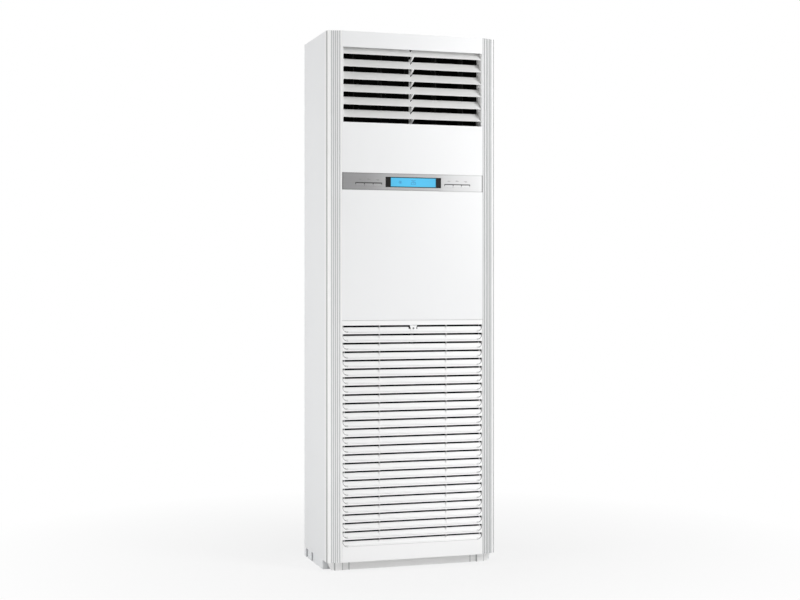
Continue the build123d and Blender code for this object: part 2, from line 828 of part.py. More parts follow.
def outlet_cassette():
    y = (cassette_front, cassette_back)
    ring = block((-cassette_half, cassette_half), y, (cassette_low - moulding, cassette_high + moulding))
    ring -= block((-cassette_inner, cassette_inner), (y[0] - 1, y[1] + 1), (cassette_low, cassette_high))
    for number in range(1, louvre_count + 1):
        ring -= rod_x(*louvre_pivot_at(number), louvre_pin + pivot_gap, (-side, side))
    return ring


def vane_x(number):
    return (number - (vane_count + 1) / 2) * vane_pitch


def outlet_duct():
    """Insulated duct, open to the coil below and to the louvres in front, with a curved back."""
    y_front = cassette_back + fit_gap
    top = cabinet_height - steel - seam
    outer = outline((y_front, duct_sill - sill_height), (y_front, top), (duct_back, top),
                    (duct_back, duct_low), (y_front + sill_depth, duct_low),
                    (y_front + sill_depth, duct_sill - sill_height))
    inner = outline((y_front - 1, duct_sill), (y_front - 1, duct_lintel), (y_front + sill_depth, duct_lintel),
                    (y_front + sill_depth + 24, top - duct_wall), (duct_back - duct_wall, top - duct_wall),
                    (duct_back - duct_wall, duct_low - 1), (y_front + sill_depth + 2, duct_low - 1),
                    (y_front + sill_depth + 2, duct_sill))
    outer = fillet(outer.vertices().sort_by(Axis.X)[-2:].sort_by(Axis.Y)[-1:], duct_bend)
    bend = inner.vertices().sort_by(Axis.X)[-2:].sort_by(Axis.Y)[-1:]
    inner = fillet(bend, duct_bend - duct_wall)
    duct = along_x(outer, (-duct_half - duct_wall, duct_half + duct_wall))
    duct -= along_x(inner, (-duct_half, duct_half))
    for number in range(1, vane_count + 1):
        x = vane_x(number)
        hole = vane_pin + pivot_gap
        depth = vane_pin_length + 1
        duct -= rod_z(x, vane_pivot_y, hole, (duct_sill - depth, duct_sill + 1))
        duct -= rod_z(x, vane_pivot_y, hole, (duct_lintel - 1, duct_lintel + depth))
    duct -= rod_z(0, vane_pivot_y, vane_pin + pivot_gap, (duct_sill - sill_height - 1, duct_sill))
    return duct


def vane(number):
    """Upright vane; the middle one has the long pin that the swing motor turns."""
    x = vane_x(number)
    y = about(vane_pivot_y, vane_chord / 2)
    z = (duct_sill + vane_gap, duct_lintel - vane_gap)
    blade = block(about(x, vane_thick / 2), y, z)
    pin_y = vane_pivot_y + vane_arm
    cut_z = z[1] - vane_cut
    blade -= block(about(x, vane_thick), (pin_y - 2 * vane_link_half, y[1] + 1), (cut_z, z[1] + 1))
    blade += rod_z(x, pin_y, louvre_pin, (cut_z - 4, cut_z + vane_link_thick + 4))
    low = duct_sill - vane_pin_length
    if number == (vane_count + 1) // 2:
        low = duct_sill - sill_height - swing_motor_height + 6
    blade += rod_z(x, vane_pivot_y, vane_pin, (low, z[0] + 6))
    blade += rod_z(x, vane_pivot_y, vane_pin, (z[1] - 6, duct_lintel + vane_pin_length))
    return blade


def vane_link():
    pin_y = vane_pivot_y + vane_arm
    reach = vane_x(vane_count)
    low = duct_lintel - vane_gap - vane_cut + 1.5
    strap = Pos(0, pin_y) * SlotOverall(2 * (reach + 8), 2 * vane_link_half)
    bar = along_z(strap, (low, low + vane_link_thick))
    for number in range(1, vane_count + 1):
        bar -= rod_z(vane_x(number), pin_y, louvre_pin + pivot_gap, (low - 1, low + vane_link_thick + 1))
    return bar


def swing_motor():
    top = duct_sill - sill_height - fit_gap
    motor = rod_z(0, vane_pivot_y, swing_motor_radius, (top - swing_motor_height, top))
    motor += block(about(0, 21), about(vane_pivot_y, 3.5), (top - 1.5, top))
    motor -= rod_z(0, vane_pivot_y, vane_pin + pivot_gap, (top - swing_motor_height + 4, top + 1))
    return motor


# ---------------------------------------------------------------- return grille
def scoop_shape(slot_top, spread):
    """Front view of a scoop: straight top and sides, rounded lower corners."""
    low = slot_top - slot_height - scoop_height - spread
    shape = rectangle((-slot_half - spread, slot_half + spread), (low, slot_top))
    corners = shape.vertices().sort_by(Axis.Y)[:2]
    return fillet(corners, scoop_corner + spread)


def scoop(slot_top):
    """Curved-ended scoop: a sloping wall that is flush below and deep at the slot."""
    lip = slot_top - slot_height
    foot = lip - scoop_height
    deep = front + scoop_depth
    shell = along_x(outline((front, foot - scoop_wall), (front, lip), (deep + scoop_wall, lip),
                            (panel_back, foot - scoop_wall)), (-slot_half - 5, slot_half + 5))
    shell &= along_y(scoop_shape(slot_top, scoop_wall), (front - 1, deep + 10))
    space = along_x(outline((front - 1, foot - 1.0 / scoop_depth * scoop_height), (deep, lip),
                            (deep, lip + 1), (front - 1, lip + 1)), (-slot_half - 5, slot_half + 5))
    space &= along_y(scoop_shape(slot_top, 0), (front - 2, deep + 10))
    return shell - space


def scoop_ring(slot_top):
    """Shallow groove in the front face round a scoop's sides and foot."""
    band = scoop_shape(slot_top, scoop_groove) - scoop_shape(slot_top, 0)
    return along_y(band, (front - 1, front + scoop_groove))


def slot_tops():
    return [slot_first + slot_height / 2 - slot_pitch * row for row in range(slot_count)]


def return_grille():
    """Moulded intake panel with a scoop under every slot, filter rails and hinge pins."""
    half = grille_half
    z = (grille_low, grille_top - seam)
    rear = front + grille_depth
    panel = block((-half, half), (front, rear), z)
    panel -= block((-half + moulding, half - moulding), (panel_back, rear + 1),
                   (z[0] + moulding, z[1] - moulding))
    panel -= block((-half + moulding, half - moulding), (front + grille_top_lip, rear + 1),
                   (z[1] - moulding - 1, z[1] + 1))
    windows = [along_y(scoop_shape(top, 0), (front - 1, panel_back + 1)) for top in slot_tops()]
    panel -= windows
    added = [scoop(top) for top in slot_tops()]
    rib_z = (slot_tops()[-1] - slot_height - 4, slot_tops()[0] + 4)
    for x in (-rib_x, rib_x):
        added.append(block(about(x, rib_thick / 2), (front + rib_front, panel_back + rib_depth), rib_z))
    tab = outline((-latch_top_half, latch_high), (latch_top_half, latch_high),
                  (latch_low_half, latch_low), (-latch_low_half, latch_low))
    added.append(along_y(tab, (front, panel_back)))
    added.append(rod_y(0, latch_z, latch_boss, (front + 1, front + cam_start - 1)))
    shelf_y = front + filter_front + filter_thick + seam
    rail_z = (filter_low - rail_thick, latch_z - rail_drop)
    outer = filter_outer + seam + rail_thick
    for inner in (-outer, outer - rail_thick):
        added.append(block((inner, inner + rail_thick), (rail_start, shelf_y), rail_z))
    for edge in (-outer, outer - rail_lip):
        added.append(block((edge, edge + rail_lip), (shelf_y, shelf_y + rail_thick), rail_z))
    middle = filter_inner - seam
    post_y = front + filter_front - fit_gap
    web = block(about(0, post_web), (rail_start, post_y + 1), rail_z)
    web -= [block(about(0, 2 * post_web), (rail_start - 1, post_y - 1),
                  (top - slot_height - post_gap, top + 1)) for top in slot_tops()]
    added.append(web)
    added.append(block(about(0, middle), (post_y, shelf_y), rail_z))
    added.append(block(about(0, middle + rail_lip / 2), (shelf_y, shelf_y + rail_thick), rail_z))
    for x in ((-filter_outer, -filter_inner), (filter_inner, filter_outer)):
        added.append(block(x, (panel_back - 0.5, shelf_y - seam),
                           (filter_low - seam - rail_thick, filter_low - seam)))
    for x in ((-half - hinge_pin_length, -half + 1), (half - 1, half + hinge_pin_length)):
        added.append(rod_x(hinge_y, hinge_z, hinge_pin, x))
    panel += added
    panel -= [scoop_ring(top) for top in slot_tops()]
    for hand in (-1, 1):
        slit = outline((hand * latch_top_half, latch_high), (hand * (latch_top_half + latch_slit), latch_high),
                       (hand * (latch_low_half + latch_slit + 0.4), latch_z - 1.5),
                       (hand * (latch_low_half + 0.4), latch_z - 1.5))
        panel -= along_y(slit, (front - 1, front + scoop_depth + scoop_wall + 1))
    panel -= rod_y(0, latch_z, lock_radius + pivot_gap, (front - 1, front + cam_start))
    return panel


def grille_lock():
    """Quarter-turn lock; its cam lies sideways when open and upright when locked."""
    cam = (front + cam_start, front + cam_start + cam_thick)
    lock = rod_y(0, latch_z, lock_radius, (front + 0.5, cam[1]))
    lock -= block(about(0, lock_slot / 2), (front, front + 2), about(latch_z, lock_radius + 1))
    arm = block((0, cam_length - cam_half), cam, about(latch_z, cam_half))
    arm += rod_y(cam_length - cam_half, latch_z, cam_half, cam)
    return lock + arm + rod_y(0, latch_z, 2 * cam_half, cam)


def filter_half():
    """Right air filter: ribbed frame with a net and a pull tab on top."""
    x = (filter_inner, filter_outer)
    y = (front + filter_front, front + filter_front + filter_thick)
    z = (filter_low, filter_high)
    frame = block(x, y, z)
    frame -= block((x[0] + filter_rim, x[1] - filter_rim), (y[0] - 1, y[1] + 1),
                   (z[0] + filter_rim, z[1] - filter_rim))
    middle = (y[0] + y[1]) / 2
    frame += block((x[0] + 1, x[1] - 1), about(middle, filter_net / 2), (z[0] + 1, z[1] - 1))
    step = (z[1] - z[0]) / (filter_bars + 1)
    for bar in range(1, filter_bars + 1):
        frame += block((x[0] + 1, x[1] - 1), y, about(z[0] + step * bar, filter_bar / 2))
    for share in (1 / 3, 2 / 3):
        across = x[0] + (x[1] - x[0]) * share
        frame += block(about(across, filter_bar / 2), y, (z[0] + 1, z[1] - 1))
    return frame


# ---------------------------------------------------------------- blower
def volute(inset, top):
    """Scroll in (X, Z): four arcs on the corners of a square, each larger by the step."""
    half = volute_step / 2
    left_edge = volute_left + inset
    right_edge = volute_right - inset
    radii = [volute_radius + volute_step * quarter - inset for quarter in (-1, 0, 1, 2)]
    corners = [(wheel_x - half, wheel_z + half), (wheel_x - half, wheel_z - half),
               (wheel_x + half, wheel_z - half), (wheel_x + half, wheel_z + half)]
    start = math.degrees(math.acos((left_edge - corners[0][0]) / radii[0]))
    tongue_z = corners[0][1] + radii[0] * math.sin(math.radians(start))
    edges = [CenterArc(corners[0], radii[0], start, 90 - start)]
    for quarter in (1, 2, 3):
        edges.append(CenterArc(corners[quarter], radii[quarter], 90 * quarter, 90))
    edges.append(Line((right_edge, corners[3][1]), (right_edge, top)))
    edges.append(Line((right_edge, top), (left_edge, top)))
    edges.append(Line((left_edge, top), (left_edge, tongue_z)))
    return make_face(edges)


def blower_housing():
    y = (housing_front, housing_back)
    top = shelf_z - fit_gap
    housing = along_y(volute(0, top), y)
    for x in (wheel_x - housing_leg, wheel_x + housing_leg):
        housing += block((x, x + steel), (y[0] + 20, y[1] - 20), (deck + fit_gap, wheel_z))
        housing += block((x, x + 30), (y[0] + 20, y[1] - 20), (deck + fit_gap, deck + fit_gap + steel))
    housing += block((volute_left - housing_flange, volute_right + housing_flange),
                     (y[0] - housing_flange / 2, y[1] + housing_flange), (top - steel, top))
    housing -= along_y(volute(steel, top + 1), (y[0] + steel, y[1] - steel))
    housing -= rod_y(wheel_x, wheel_z, housing_hole, (y[0] - 1, y[0] + steel + 1))
    housing -= rod_y(wheel_x, wheel_z, motor_opening, (y[1] - steel - 1, y[1] + 1))
    return housing


def inlet_ring():
    """Bell mouth that leads the air into the wheel."""
    lip = ring_mouth - ring_throat

    def bell(shift):
        """Quarter of the bell from the flange to the throat, as short cones."""
        turns = [math.radians(90 * step / bell_steps) for step in range(bell_steps + 1)]
        return [(ring_mouth - (lip - shift) * math.sin(turn),
                 housing_front - steel + lip - (lip - shift) * math.cos(turn)) for turn in turns]

    points = [(ring_flange, housing_front - steel), *bell(0), (ring_throat, ring_end),
              (ring_throat + steel, ring_end), *bell(steel)[::-1], (ring_flange, housing_front)]
    edges = outline(*points)
    plane = Plane(origin=(wheel_x, 0, wheel_z), x_dir=(1, 0, 0), z_dir=(0, 0, 1))
    return revolve(plane * edges, Axis((wheel_x, 0, wheel_z), (0, 1, 0)))


def polar(radius, angle):
    turn = math.radians(angle)
    return (radius * math.cos(turn), radius * math.sin(turn))


def blower_wheel():
    """Forward-curved wheel: dished back, hub, ring of blades and front ring."""
    rim = wheel_back - wheel_disc
    disc = turned(wheel_x, wheel_z, (shaft_radius + shaft_gap, hub_front), (hub_radius, hub_front),
                  (hub_radius, dish_y), (dish_foot, dish_y), (wheel_bore - dish_rim, rim),
                  (wheel_radius, rim), (wheel_radius, wheel_back),
                  (wheel_bore - dish_rim - wheel_disc, wheel_back),
                  (dish_foot - wheel_disc / 2, dish_y + wheel_disc), (hub_radius, dish_y + wheel_disc),
                  (hub_radius, hub_back), (shaft_radius + shaft_gap, hub_back))
    root = wheel_bore + 1
    tip = wheel_radius - 1
    middle = (root + tip) / 2
    face = [ThreePointArc(polar(root, 0), polar(middle, blade_bow), polar(tip, blade_lean)),
            Line(polar(tip, blade_lean), polar(tip, blade_lean + blade_thick)),
            ThreePointArc(polar(tip, blade_lean + blade_thick), polar(middle, blade_bow + blade_thick),
                          polar(root, blade_thick)),
            Line(polar(root, blade_thick), polar(root, 0))]
    blade = make_face(face)
    step = 360 / wheel_blades
    blades = [along_y(Pos(wheel_x, wheel_z) * Rot(0, 0, step * turn) * blade, (wheel_front + 1, rim + 1))
              for turn in range(wheel_blades)]
    ring = rod_y(wheel_x, wheel_z, wheel_radius, (wheel_front, wheel_front + wheel_disc))
    ring -= rod_y(wheel_x, wheel_z, wheel_bore, (wheel_front - 1, wheel_front + wheel_disc + 1))
    return disc + (blades + [ring])


def motor_shaft():
    return rod_y(wheel_x, wheel_z, shaft_radius, (hub_front - shaft_nose, motor_front + 12))


def fan_motor():
    shell = turned(wheel_x, wheel_z, (0, motor_front - 6), (motor_boss, motor_front - 6),
                   (motor_boss, motor_front), (motor_radius - 8, motor_front),
                   (motor_radius, motor_front + 8), (motor_radius, motor_back - 8),
                   (motor_radius - 8, motor_back), (motor_boss, motor_back),
                   (motor_boss, motor_back + 6), (0, motor_back + 6))
    flange_y = (housing_back + mount_thick, housing_back + mount_thick + motor_flange_thick)
    shell += rod_y(wheel_x, wheel_z, motor_flange, flange_y)
    shell -= rod_y(wheel_x, wheel_z, shaft_radius + pivot_gap, (motor_front - 7, motor_front + 13))
    return shell


def motor_mount():
    y = (housing_back, housing_back + mount_thick)
    plate = Pos(wheel_x, wheel_z) * Circle(mount_radius)
    plate -= Pos(wheel_x, wheel_z) * Circle(motor_radius + 0.4)
    for quarter in range(4):
        x, z = polar(mount_hole_circle, 45 + 90 * quarter)
        plate -= Pos(wheel_x + x, wheel_z + z) * Circle(mount_hole)
    return along_y(plate, y)


# ---------------------------------------------------------------- coil, pipes and drain
def coil_point(distance):
    """Y and Z on the coil's middle plane at a distance from its foot."""
    tilt = math.radians(coil_tilt)
    return (coil_foot_y + distance * math.sin(tilt), coil_foot_z + distance * math.cos(tilt))


def coil_frame():
    tilt = math.radians(coil_tilt)
    return Plane(origin=(0, coil_foot_y, coil_foot_z), x_dir=(1, 0, 0),
                 z_dir=(0, math.sin(tilt), math.cos(tilt)))


def evaporator_coil():
    """Fins on both sides of the tube plane, between two end plates."""
    frame = coil_frame()
    section = rectangle((-coil_half, coil_half), about(0, coil_spine / 2))
    count = int((2 * coil_half - fin_pitch) / fin_pitch)
    first = -fin_pitch * (count - 1) / 2
    section += [rectangle(about(first + fin_pitch * fin, fin_thick / 2), about(0, coil_thick / 2))
                for fin in range(count)]
    fins = along_z(section, (0, coil_length))
    plate_y = about(0, coil_thick / 2 + coil_plate_margin)
    plate_z = (0, coil_length + coil_plate_margin)
    for x in ((-coil_half - coil_plate, -coil_half), (coil_half, coil_half + coil_plate)):
        fins += block(x, plate_y, plate_z)
    return frame * fins


def coil_return_bends():
    frame = coil_frame()
    bends = []
    rows = 1 + int((coil_length - bend_start - bend_radius - bend_tube) / bend_pitch)
    for row in range(rows):
        height = bend_start + bend_pitch * row
        section = Plane(origin=(coil_half + coil_plate, -bend_radius, height), x_dir=(0, 1, 0),
                        z_dir=(1, 0, 0)) * RegularPolygon(bend_tube, bend_sides)
        axis = Axis((coil_half + coil_plate, 0, height), (0, 0, 1))
        bends.append(frame * revolve(section, axis, 180))
    return bends


def pipe(radius, points, bend=pipe_bend):
    path = FilletPolyline(*points, radius=bend)
    start = Plane(origin=path @ 0, z_dir=path % 0)
    return sweep(start * Circle(radius), path=path)


def gas_pipe():
    y, z = coil_point(gas_coil_at)
    start = -coil_half - coil_plate
    return pipe(gas_radius, [(start, y, z), (gas_run_x, y, z), (gas_run_x, y, pipe_out_z),
                             (gas_out_x, y, pipe_out_z), (gas_out_x, pipe_end_y, pipe_out_z)])


def liquid_pipe():
    y, z = coil_point(liquid_coil_at)
    start = -coil_half - coil_plate
    return pipe(liquid_radius, [(start, y, z), (liquid_run_x, y, z), (liquid_run_x, y, pipe_out_z),
                                (liquid_out_x, y, pipe_out_z), (liquid_out_x, pipe_end_y, pipe_out_z)])


def flare_unions():
    unions = []
    for x, hexagon, stub, bore in ((gas_out_x, gas_hex, gas_stub, gas_radius - 1),
                                   (liquid_out_x, liquid_hex, liquid_stub, liquid_radius - 0.8)):
        hex_y = (pipe_end_y, pipe_end_y + union_hex_length)
        end = hex_y[1] + union_stub_length
        union = along_y(Pos(x, pipe_out_z) * RegularPolygon(hexagon, 6, major_radius=False), hex_y)
        union += rod_y(x, pipe_out_z, stub, (hex_y[1], end))
        union -= rod_y(x, pipe_out_z, bore, (hex_y[0] + 4, end + 1))
        unions.append(union)
    return unions


def drain_pipe():
    """Stiff tube that slips over the pan's spigot and ends in the port with a nozzle."""
    bore = spigot_radius + fit_gap
    points = [(port_x, spigot_y, shelf_z - pipe_clear), (port_x, spigot_y, drain_z),
              (port_x, drain_end_y - drain_nozzle, drain_z)]
    tube = pipe(bore + drain_wall, points, drain_bend) - pipe(bore, points, drain_bend)
    nozzle = (drain_end_y - drain_nozzle - drain_wall, drain_end_y)
    tube += rod_y(port_x, drain_z, bore + drain_wall / 2, (nozzle[0], nozzle[0] + drain_wall))
    tube += rod_y(port_x, drain_z, spigot_radius, (nozzle[0], nozzle[1]))
    tube -= rod_y(port_x, drain_z, drain_nozzle_bore, (nozzle[0] - 1, nozzle[1] + 1))
    return tube


def drain_pan():
    z = (shelf_top, shelf_top + pan_height)
    pan = block((-pan_half, pan_half), (pan_front, pan_back), z)
    pan -= block((-pan_half + moulding, pan_half - moulding), (pan_front + moulding, pan_back - moulding),
                 (z[0] + moulding, z[1] + 1))
    slope = math.tan(math.radians(coil_tilt))
    rest_y = (coil_foot_y - saddle_half, coil_foot_y + saddle_half)
    rest_z = [coil_foot_z - seam / math.cos(math.radians(coil_tilt)) + slope * saddle_half * end
              for end in (1, -1)]
    saddle = outline((rest_y[0], z[0] + 1), (rest_y[0], rest_z[0]), (rest_y[1], rest_z[1]),
                     (rest_y[1], z[0] + 1))
    for x in (-saddle_x, 0, saddle_x):
        pan += along_x(saddle, about(x, moulding))
    pan += rod_z(port_x, spigot_y, spigot_radius, (z[0] - spigot_length, z[0] + 1))
    pan -= rod_z(port_x, spigot_y, spigot_bore, (z[0] - spigot_length - 1, z[0] + moulding + 1))
    return pan


# ---------------------------------------------------------------- electrical parts
def electrical_box():
    y = (box_front, housing_front - fit_gap)
    box = block((box_left, box_right), y, (box_low, box_high))
    box -= block((box_left + steel, box_right - steel), (y[0] - 1, y[1] - steel),
                 (box_low + steel, box_high - steel))
    return box


def electrical_box_cover():
    x = (box_left - cover_margin, box_right + cover_margin)
    z = (box_low - cover_margin, box_high + cover_margin - 1)
    y = (box_front - fit_gap - steel, box_front + cover_rim)
    cover = block(x, y, z)
    inside = (x[0] + steel, x[1] - steel)
    cover -= block(inside, (box_front - fit_gap, y[1] + 1), (z[0] + steel, z[1] - steel))
    cover -= block(inside, (box_front - fit_gap, y[1] + 1), (z[1] - steel - 1, z[1] + 1))
    return cover


def terminal_block():
    back_y = housing_front - fit_gap - steel
    terminal_left = box_left + terminal_in
    terminal_low = box_low + terminal_up
    body = block((terminal_left, terminal_left + terminal_width), (back_y - terminal_depth / 2, back_y),
                 (terminal_low, terminal_low + terminal_height))
    step = terminal_width / terminal_ways
    for way in range(terminal_ways + 1):
        x = terminal_left + step * way
        edge = (max(x - 1, terminal_left), min(x + 1, terminal_left + terminal_width))
        body += block(edge, (back_y - terminal_depth, back_y), (terminal_low, terminal_low + terminal_height))
    return body


def fan_capacitor():
    back_y = housing_front - fit_gap - steel
    width, depth, height = capacitor_size
    left = box_left + capacitor_in
    low = box_low + capacitor_up
    shape = rounded((left, left + width), (low, low + height), 4)
    return along_y(shape, (back_y - depth, back_y))


def cable_grommet():
    """Rubber ring that grips the edge of the hole in the rear panel."""
    grip = grommet_hole - fit_gap
    return turned(side - grommet_side, port_z, (grommet_bore, rear_inner - grommet_lip),
                  (grommet_outer, rear_inner - grommet_lip), (grommet_outer, rear_inner),
                  (grip, rear_inner), (grip, rear_face), (grommet_outer, rear_face),
                  (grommet_outer, rear_face + grommet_lip), (grommet_bore, rear_face + grommet_lip))


# ---------------------------------------------------------------- assembly
keep("base_pan", base_pan())
keep("base_feet", *base_feet())
keep("base_plinth", base_plinth())
keep("side_panel_right", side_panel())
keep("side_panel_left", mirrored(side_panel()))
keep("rear_panel", rear_panel())
keep("cabinet_screws", *cabinet_screws())
keep("top_cover", top_cover())
keep("partition_shelf", partition_shelf())
keep("pilaster_right", pilaster())
keep("pilaster_left", mirrored(pilaster()))
keep("front_panel", front_panel())
keep("control_fascia", control_fascia())
keep("display_bezel", display_bezel())
keep("display_window", display_window())
keep("control_board", control_board())
for number in range(1, 2 * key_count + 1):
    keep(f"control_key_{number}", control_key(number))
for number in range(1, louvre_count + 1):
    keep(f"louvre_blade_{number}", louvre_blade(number))
keep("louvre_link", louvre_link())
keep("outlet_cassette", outlet_cassette())
keep("outlet_duct", outlet_duct())
for number in range(1, vane_count + 1):
    keep(f"air_vane_{number}", vane(number))
keep("vane_link", vane_link())
keep("swing_motor", swing_motor())
keep("return_grille", return_grille())
keep("grille_lock", grille_lock())
keep("air_filter_right", filter_half())
keep("air_filter_left", mirrored(filter_half()))
keep("blower_housing", blower_housing())
keep("inlet_ring", inlet_ring())
keep("blower_wheel", blower_wheel())
keep("motor_shaft", motor_shaft())
keep("fan_motor", fan_motor())
keep("motor_mount", motor_mount())
keep("evaporator_coil", evaporator_coil())
keep("coil_return_bends", *coil_return_bends())
keep("gas_pipe", gas_pipe())
keep("liquid_pipe", liquid_pipe())
keep("flare_unions", *flare_unions())
keep("drain_pan", drain_pan())
keep("drain_pipe", drain_pipe())
keep("electrical_box", electrical_box())
keep("electrical_box_cover", electrical_box_cover())
keep("terminal_block", terminal_block())
keep("fan_capacitor", fan_capacitor())
keep("cable_grommet", cable_grommet())

os.makedirs("parts", exist_ok=True)
for name, shape in parts.items():
    export_step(shape, f"parts/{name}.step")
print(len(parts), "nodes")
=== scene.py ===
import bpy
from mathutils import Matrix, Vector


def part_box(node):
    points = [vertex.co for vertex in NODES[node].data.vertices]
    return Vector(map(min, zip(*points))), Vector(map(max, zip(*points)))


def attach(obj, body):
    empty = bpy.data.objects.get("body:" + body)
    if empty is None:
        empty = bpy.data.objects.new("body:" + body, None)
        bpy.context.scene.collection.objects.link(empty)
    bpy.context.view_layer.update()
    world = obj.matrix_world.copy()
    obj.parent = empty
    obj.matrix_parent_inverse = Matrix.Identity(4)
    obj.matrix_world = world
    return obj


bl_info = {
    "name": "Floor standing air conditioner",
    "version": (1, 0, 0),
    "blender": (4, 5, 0),
    "location": "3D Viewport > Sidebar > Air Conditioner",
    "description": "Gives the packed cabinet its finishes, display symbols and studio",
    "category": "Object",
}

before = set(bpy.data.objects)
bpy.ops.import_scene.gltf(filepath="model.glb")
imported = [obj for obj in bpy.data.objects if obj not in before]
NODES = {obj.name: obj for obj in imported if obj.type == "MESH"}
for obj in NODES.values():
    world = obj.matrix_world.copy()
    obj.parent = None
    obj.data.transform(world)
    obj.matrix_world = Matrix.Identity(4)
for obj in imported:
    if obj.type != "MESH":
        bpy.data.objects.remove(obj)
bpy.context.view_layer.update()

import math

import bpy
import numpy as np
from bpy.props import FloatProperty, FloatVectorProperty, PointerProperty

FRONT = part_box("control_fascia")[0].y
WINDOW_LOW, WINDOW_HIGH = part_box("display_window")
BAND_LOW, BAND_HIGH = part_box("control_fascia")
KEY_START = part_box("control_key_4")[0].x
KEY_PITCH = (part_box("control_key_6")[0].x - KEY_START) / 2
KEY_TOP = BAND_LOW.z + 0.0223
LOCK_LOW, LOCK_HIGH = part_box("grille_lock")
GRILLE_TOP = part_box("return_grille")[1].z
PLINTH_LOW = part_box("base_plinth")[0]

# Metres in the object's frame. A distance across is counted from the middle plane, x = 0.
SLOT_PITCH = 0.0286                 # from one slot of the grille to the next
SLOT_TOP = 0.8179                   # height of the highest slot
SLOT_END = 0.2290                   # across, where a slot's curved end begins
RIB = (0.1178, 0.1202)              # across, the grille's broken rib
TAB_SLIT = (0.0088, 0.0155)         # across, the slit beside the lock's tab
GROOVE = (0.00115, 0.00150)         # depth of the groove round a scoop, behind the front
SCOOP_INSIDE = 0.0085               # depth from which a scoop is unlit
COLUMN_START = 0.251                # across, the inner edge of a column
FLUTES = (0.0070, 0.0143, 0.0206, 0.0270, 0.0333)    # middles of its grooves, from that edge
COLUMN_BACK = -0.1235               # y at which a column's fluted face ends
CREASE_Y = -0.1405                  # y of the crease along its outer corner
PLINTH_STEPS = (0.217, 0.240, 0.267)                 # across, the steps of the plinth
NET_PLANE = -0.1415                 # y of the filters' net
MARK_RISE = 0.0352                  # marks above the keys, from the band's foot
MARK_REACH, MARK_STUB = 0.0052, 0.0012               # half of a long stroke, end of a short one
BLACK = (0.0, 0.0, 0.0)
WHITE = (1.0, 1.0, 1.0)
SATIN_SPECULAR = 0.45


# ---------------------------------------------------------------- sizes and colours

class FinishSettings(bpy.types.PropertyGroup):
    """Colours of the cabinet's finishes, as linear values."""
    moulding: FloatVectorProperty(
        name="Moulded white", description="Front panel and columns",
        subtype="COLOR", size=3, min=0.0, max=1.0, default=(0.845, 0.850, 0.855))
    # Painted light: a paler copy of the white, so that the louvres and the plinth, which lie in shade,
    # render as bright as the front panel.
    louvre: FloatVectorProperty(
        name="Louvre white", description="Louvres, their link and frame, and the plinth",
        subtype="COLOR", size=3, min=0.0, max=1.0, default=(0.930, 0.930, 0.925))
    # Painted light: a paler copy of the moulding's white, standing in for more light on the grille.
    grille: FloatVectorProperty(
        name="Grille white", description="Intake grille",
        subtype="COLOR", size=3, min=0.0, max=1.0, default=(0.905, 0.905, 0.905))
    enamel: FloatVectorProperty(
        name="Enamelled steel", description="Side panels and top cover",
        subtype="COLOR", size=3, min=0.0, max=1.0, default=(0.800, 0.808, 0.815))
    # Painted reflection: the silver band's colour runs from this deep shade at the left end to the pale one
    # at the right end, in place of a reflection.
    band_reflection_dark: FloatVectorProperty(
        name="Band, left end", description="Silver band beside the left column",
        subtype="COLOR", size=3, min=0.0, max=1.0, default=(0.226, 0.226, 0.229))
    band_reflection_light: FloatVectorProperty(
        name="Band, right end", description="Silver band beside the right column",
        subtype="COLOR", size=3, min=0.0, max=1.0, default=(0.555, 0.557, 0.561))
    # Painted shade: this grey stands in for the shade in the columns' grooves, joint and crease and at the
    # plinth's steps; the plinth's scuffs are wear in a faint share of it.
    flute: FloatVectorProperty(
        name="Flutes", description="Grey that lies in the columns' grooves",
        subtype="COLOR", size=3, min=0.0, max=1.0, default=(0.42, 0.43, 0.43))
    lit_blue: FloatVectorProperty(
        name="Display light", description="Backlight of the display",
        subtype="COLOR", size=3, min=0.0, max=1.0, default=(0.068, 0.555, 0.905))
    symbol_blue: FloatVectorProperty(
        name="Display symbols", description="Symbols drawn on the display",
        subtype="COLOR", size=3, min=0.0, max=1.0, default=(0.028, 0.235, 0.480))
    duct_black: FloatVectorProperty(
        name="Duct lining", description="Insulating foam behind the louvres",
        subtype="COLOR", size=3, min=0.0, max=1.0, default=(0.006, 0.006, 0.0055))


class SymbolSettings(bpy.types.PropertyGroup):
    """Sizes of the marks on the display and above the keys."""
    digit_height: FloatProperty(
        name="Digit height", description="Height of the two digits on the display",
        unit="LENGTH", min=0.004, max=0.024, default=0.0125)
    digit_stroke: FloatProperty(
        name="Digit stroke", description="Width of a digit's segment",
        unit="LENGTH", min=0.0004, max=0.004, default=0.0015)
    snow_radius: FloatProperty(
        name="Snow symbol", description="Radius of the cooling symbol",
        unit="LENGTH", min=0.002, max=0.012, default=0.0056)
    mark_height: FloatProperty(
        name="Key mark height", description="Height of the marks above the keys",
        unit="LENGTH", min=0.001, max=0.006, default=0.0036)
    mark_stroke: FloatProperty(
        name="Key mark stroke", description="Width of the strokes above the keys",
        unit="LENGTH", min=0.0003, max=0.002, default=0.0011)
    ink: FloatProperty(
        name="Ink thickness", description="How far a printed mark stands above its ground",
        unit="LENGTH", min=0.00002, max=0.0003, default=0.00006)


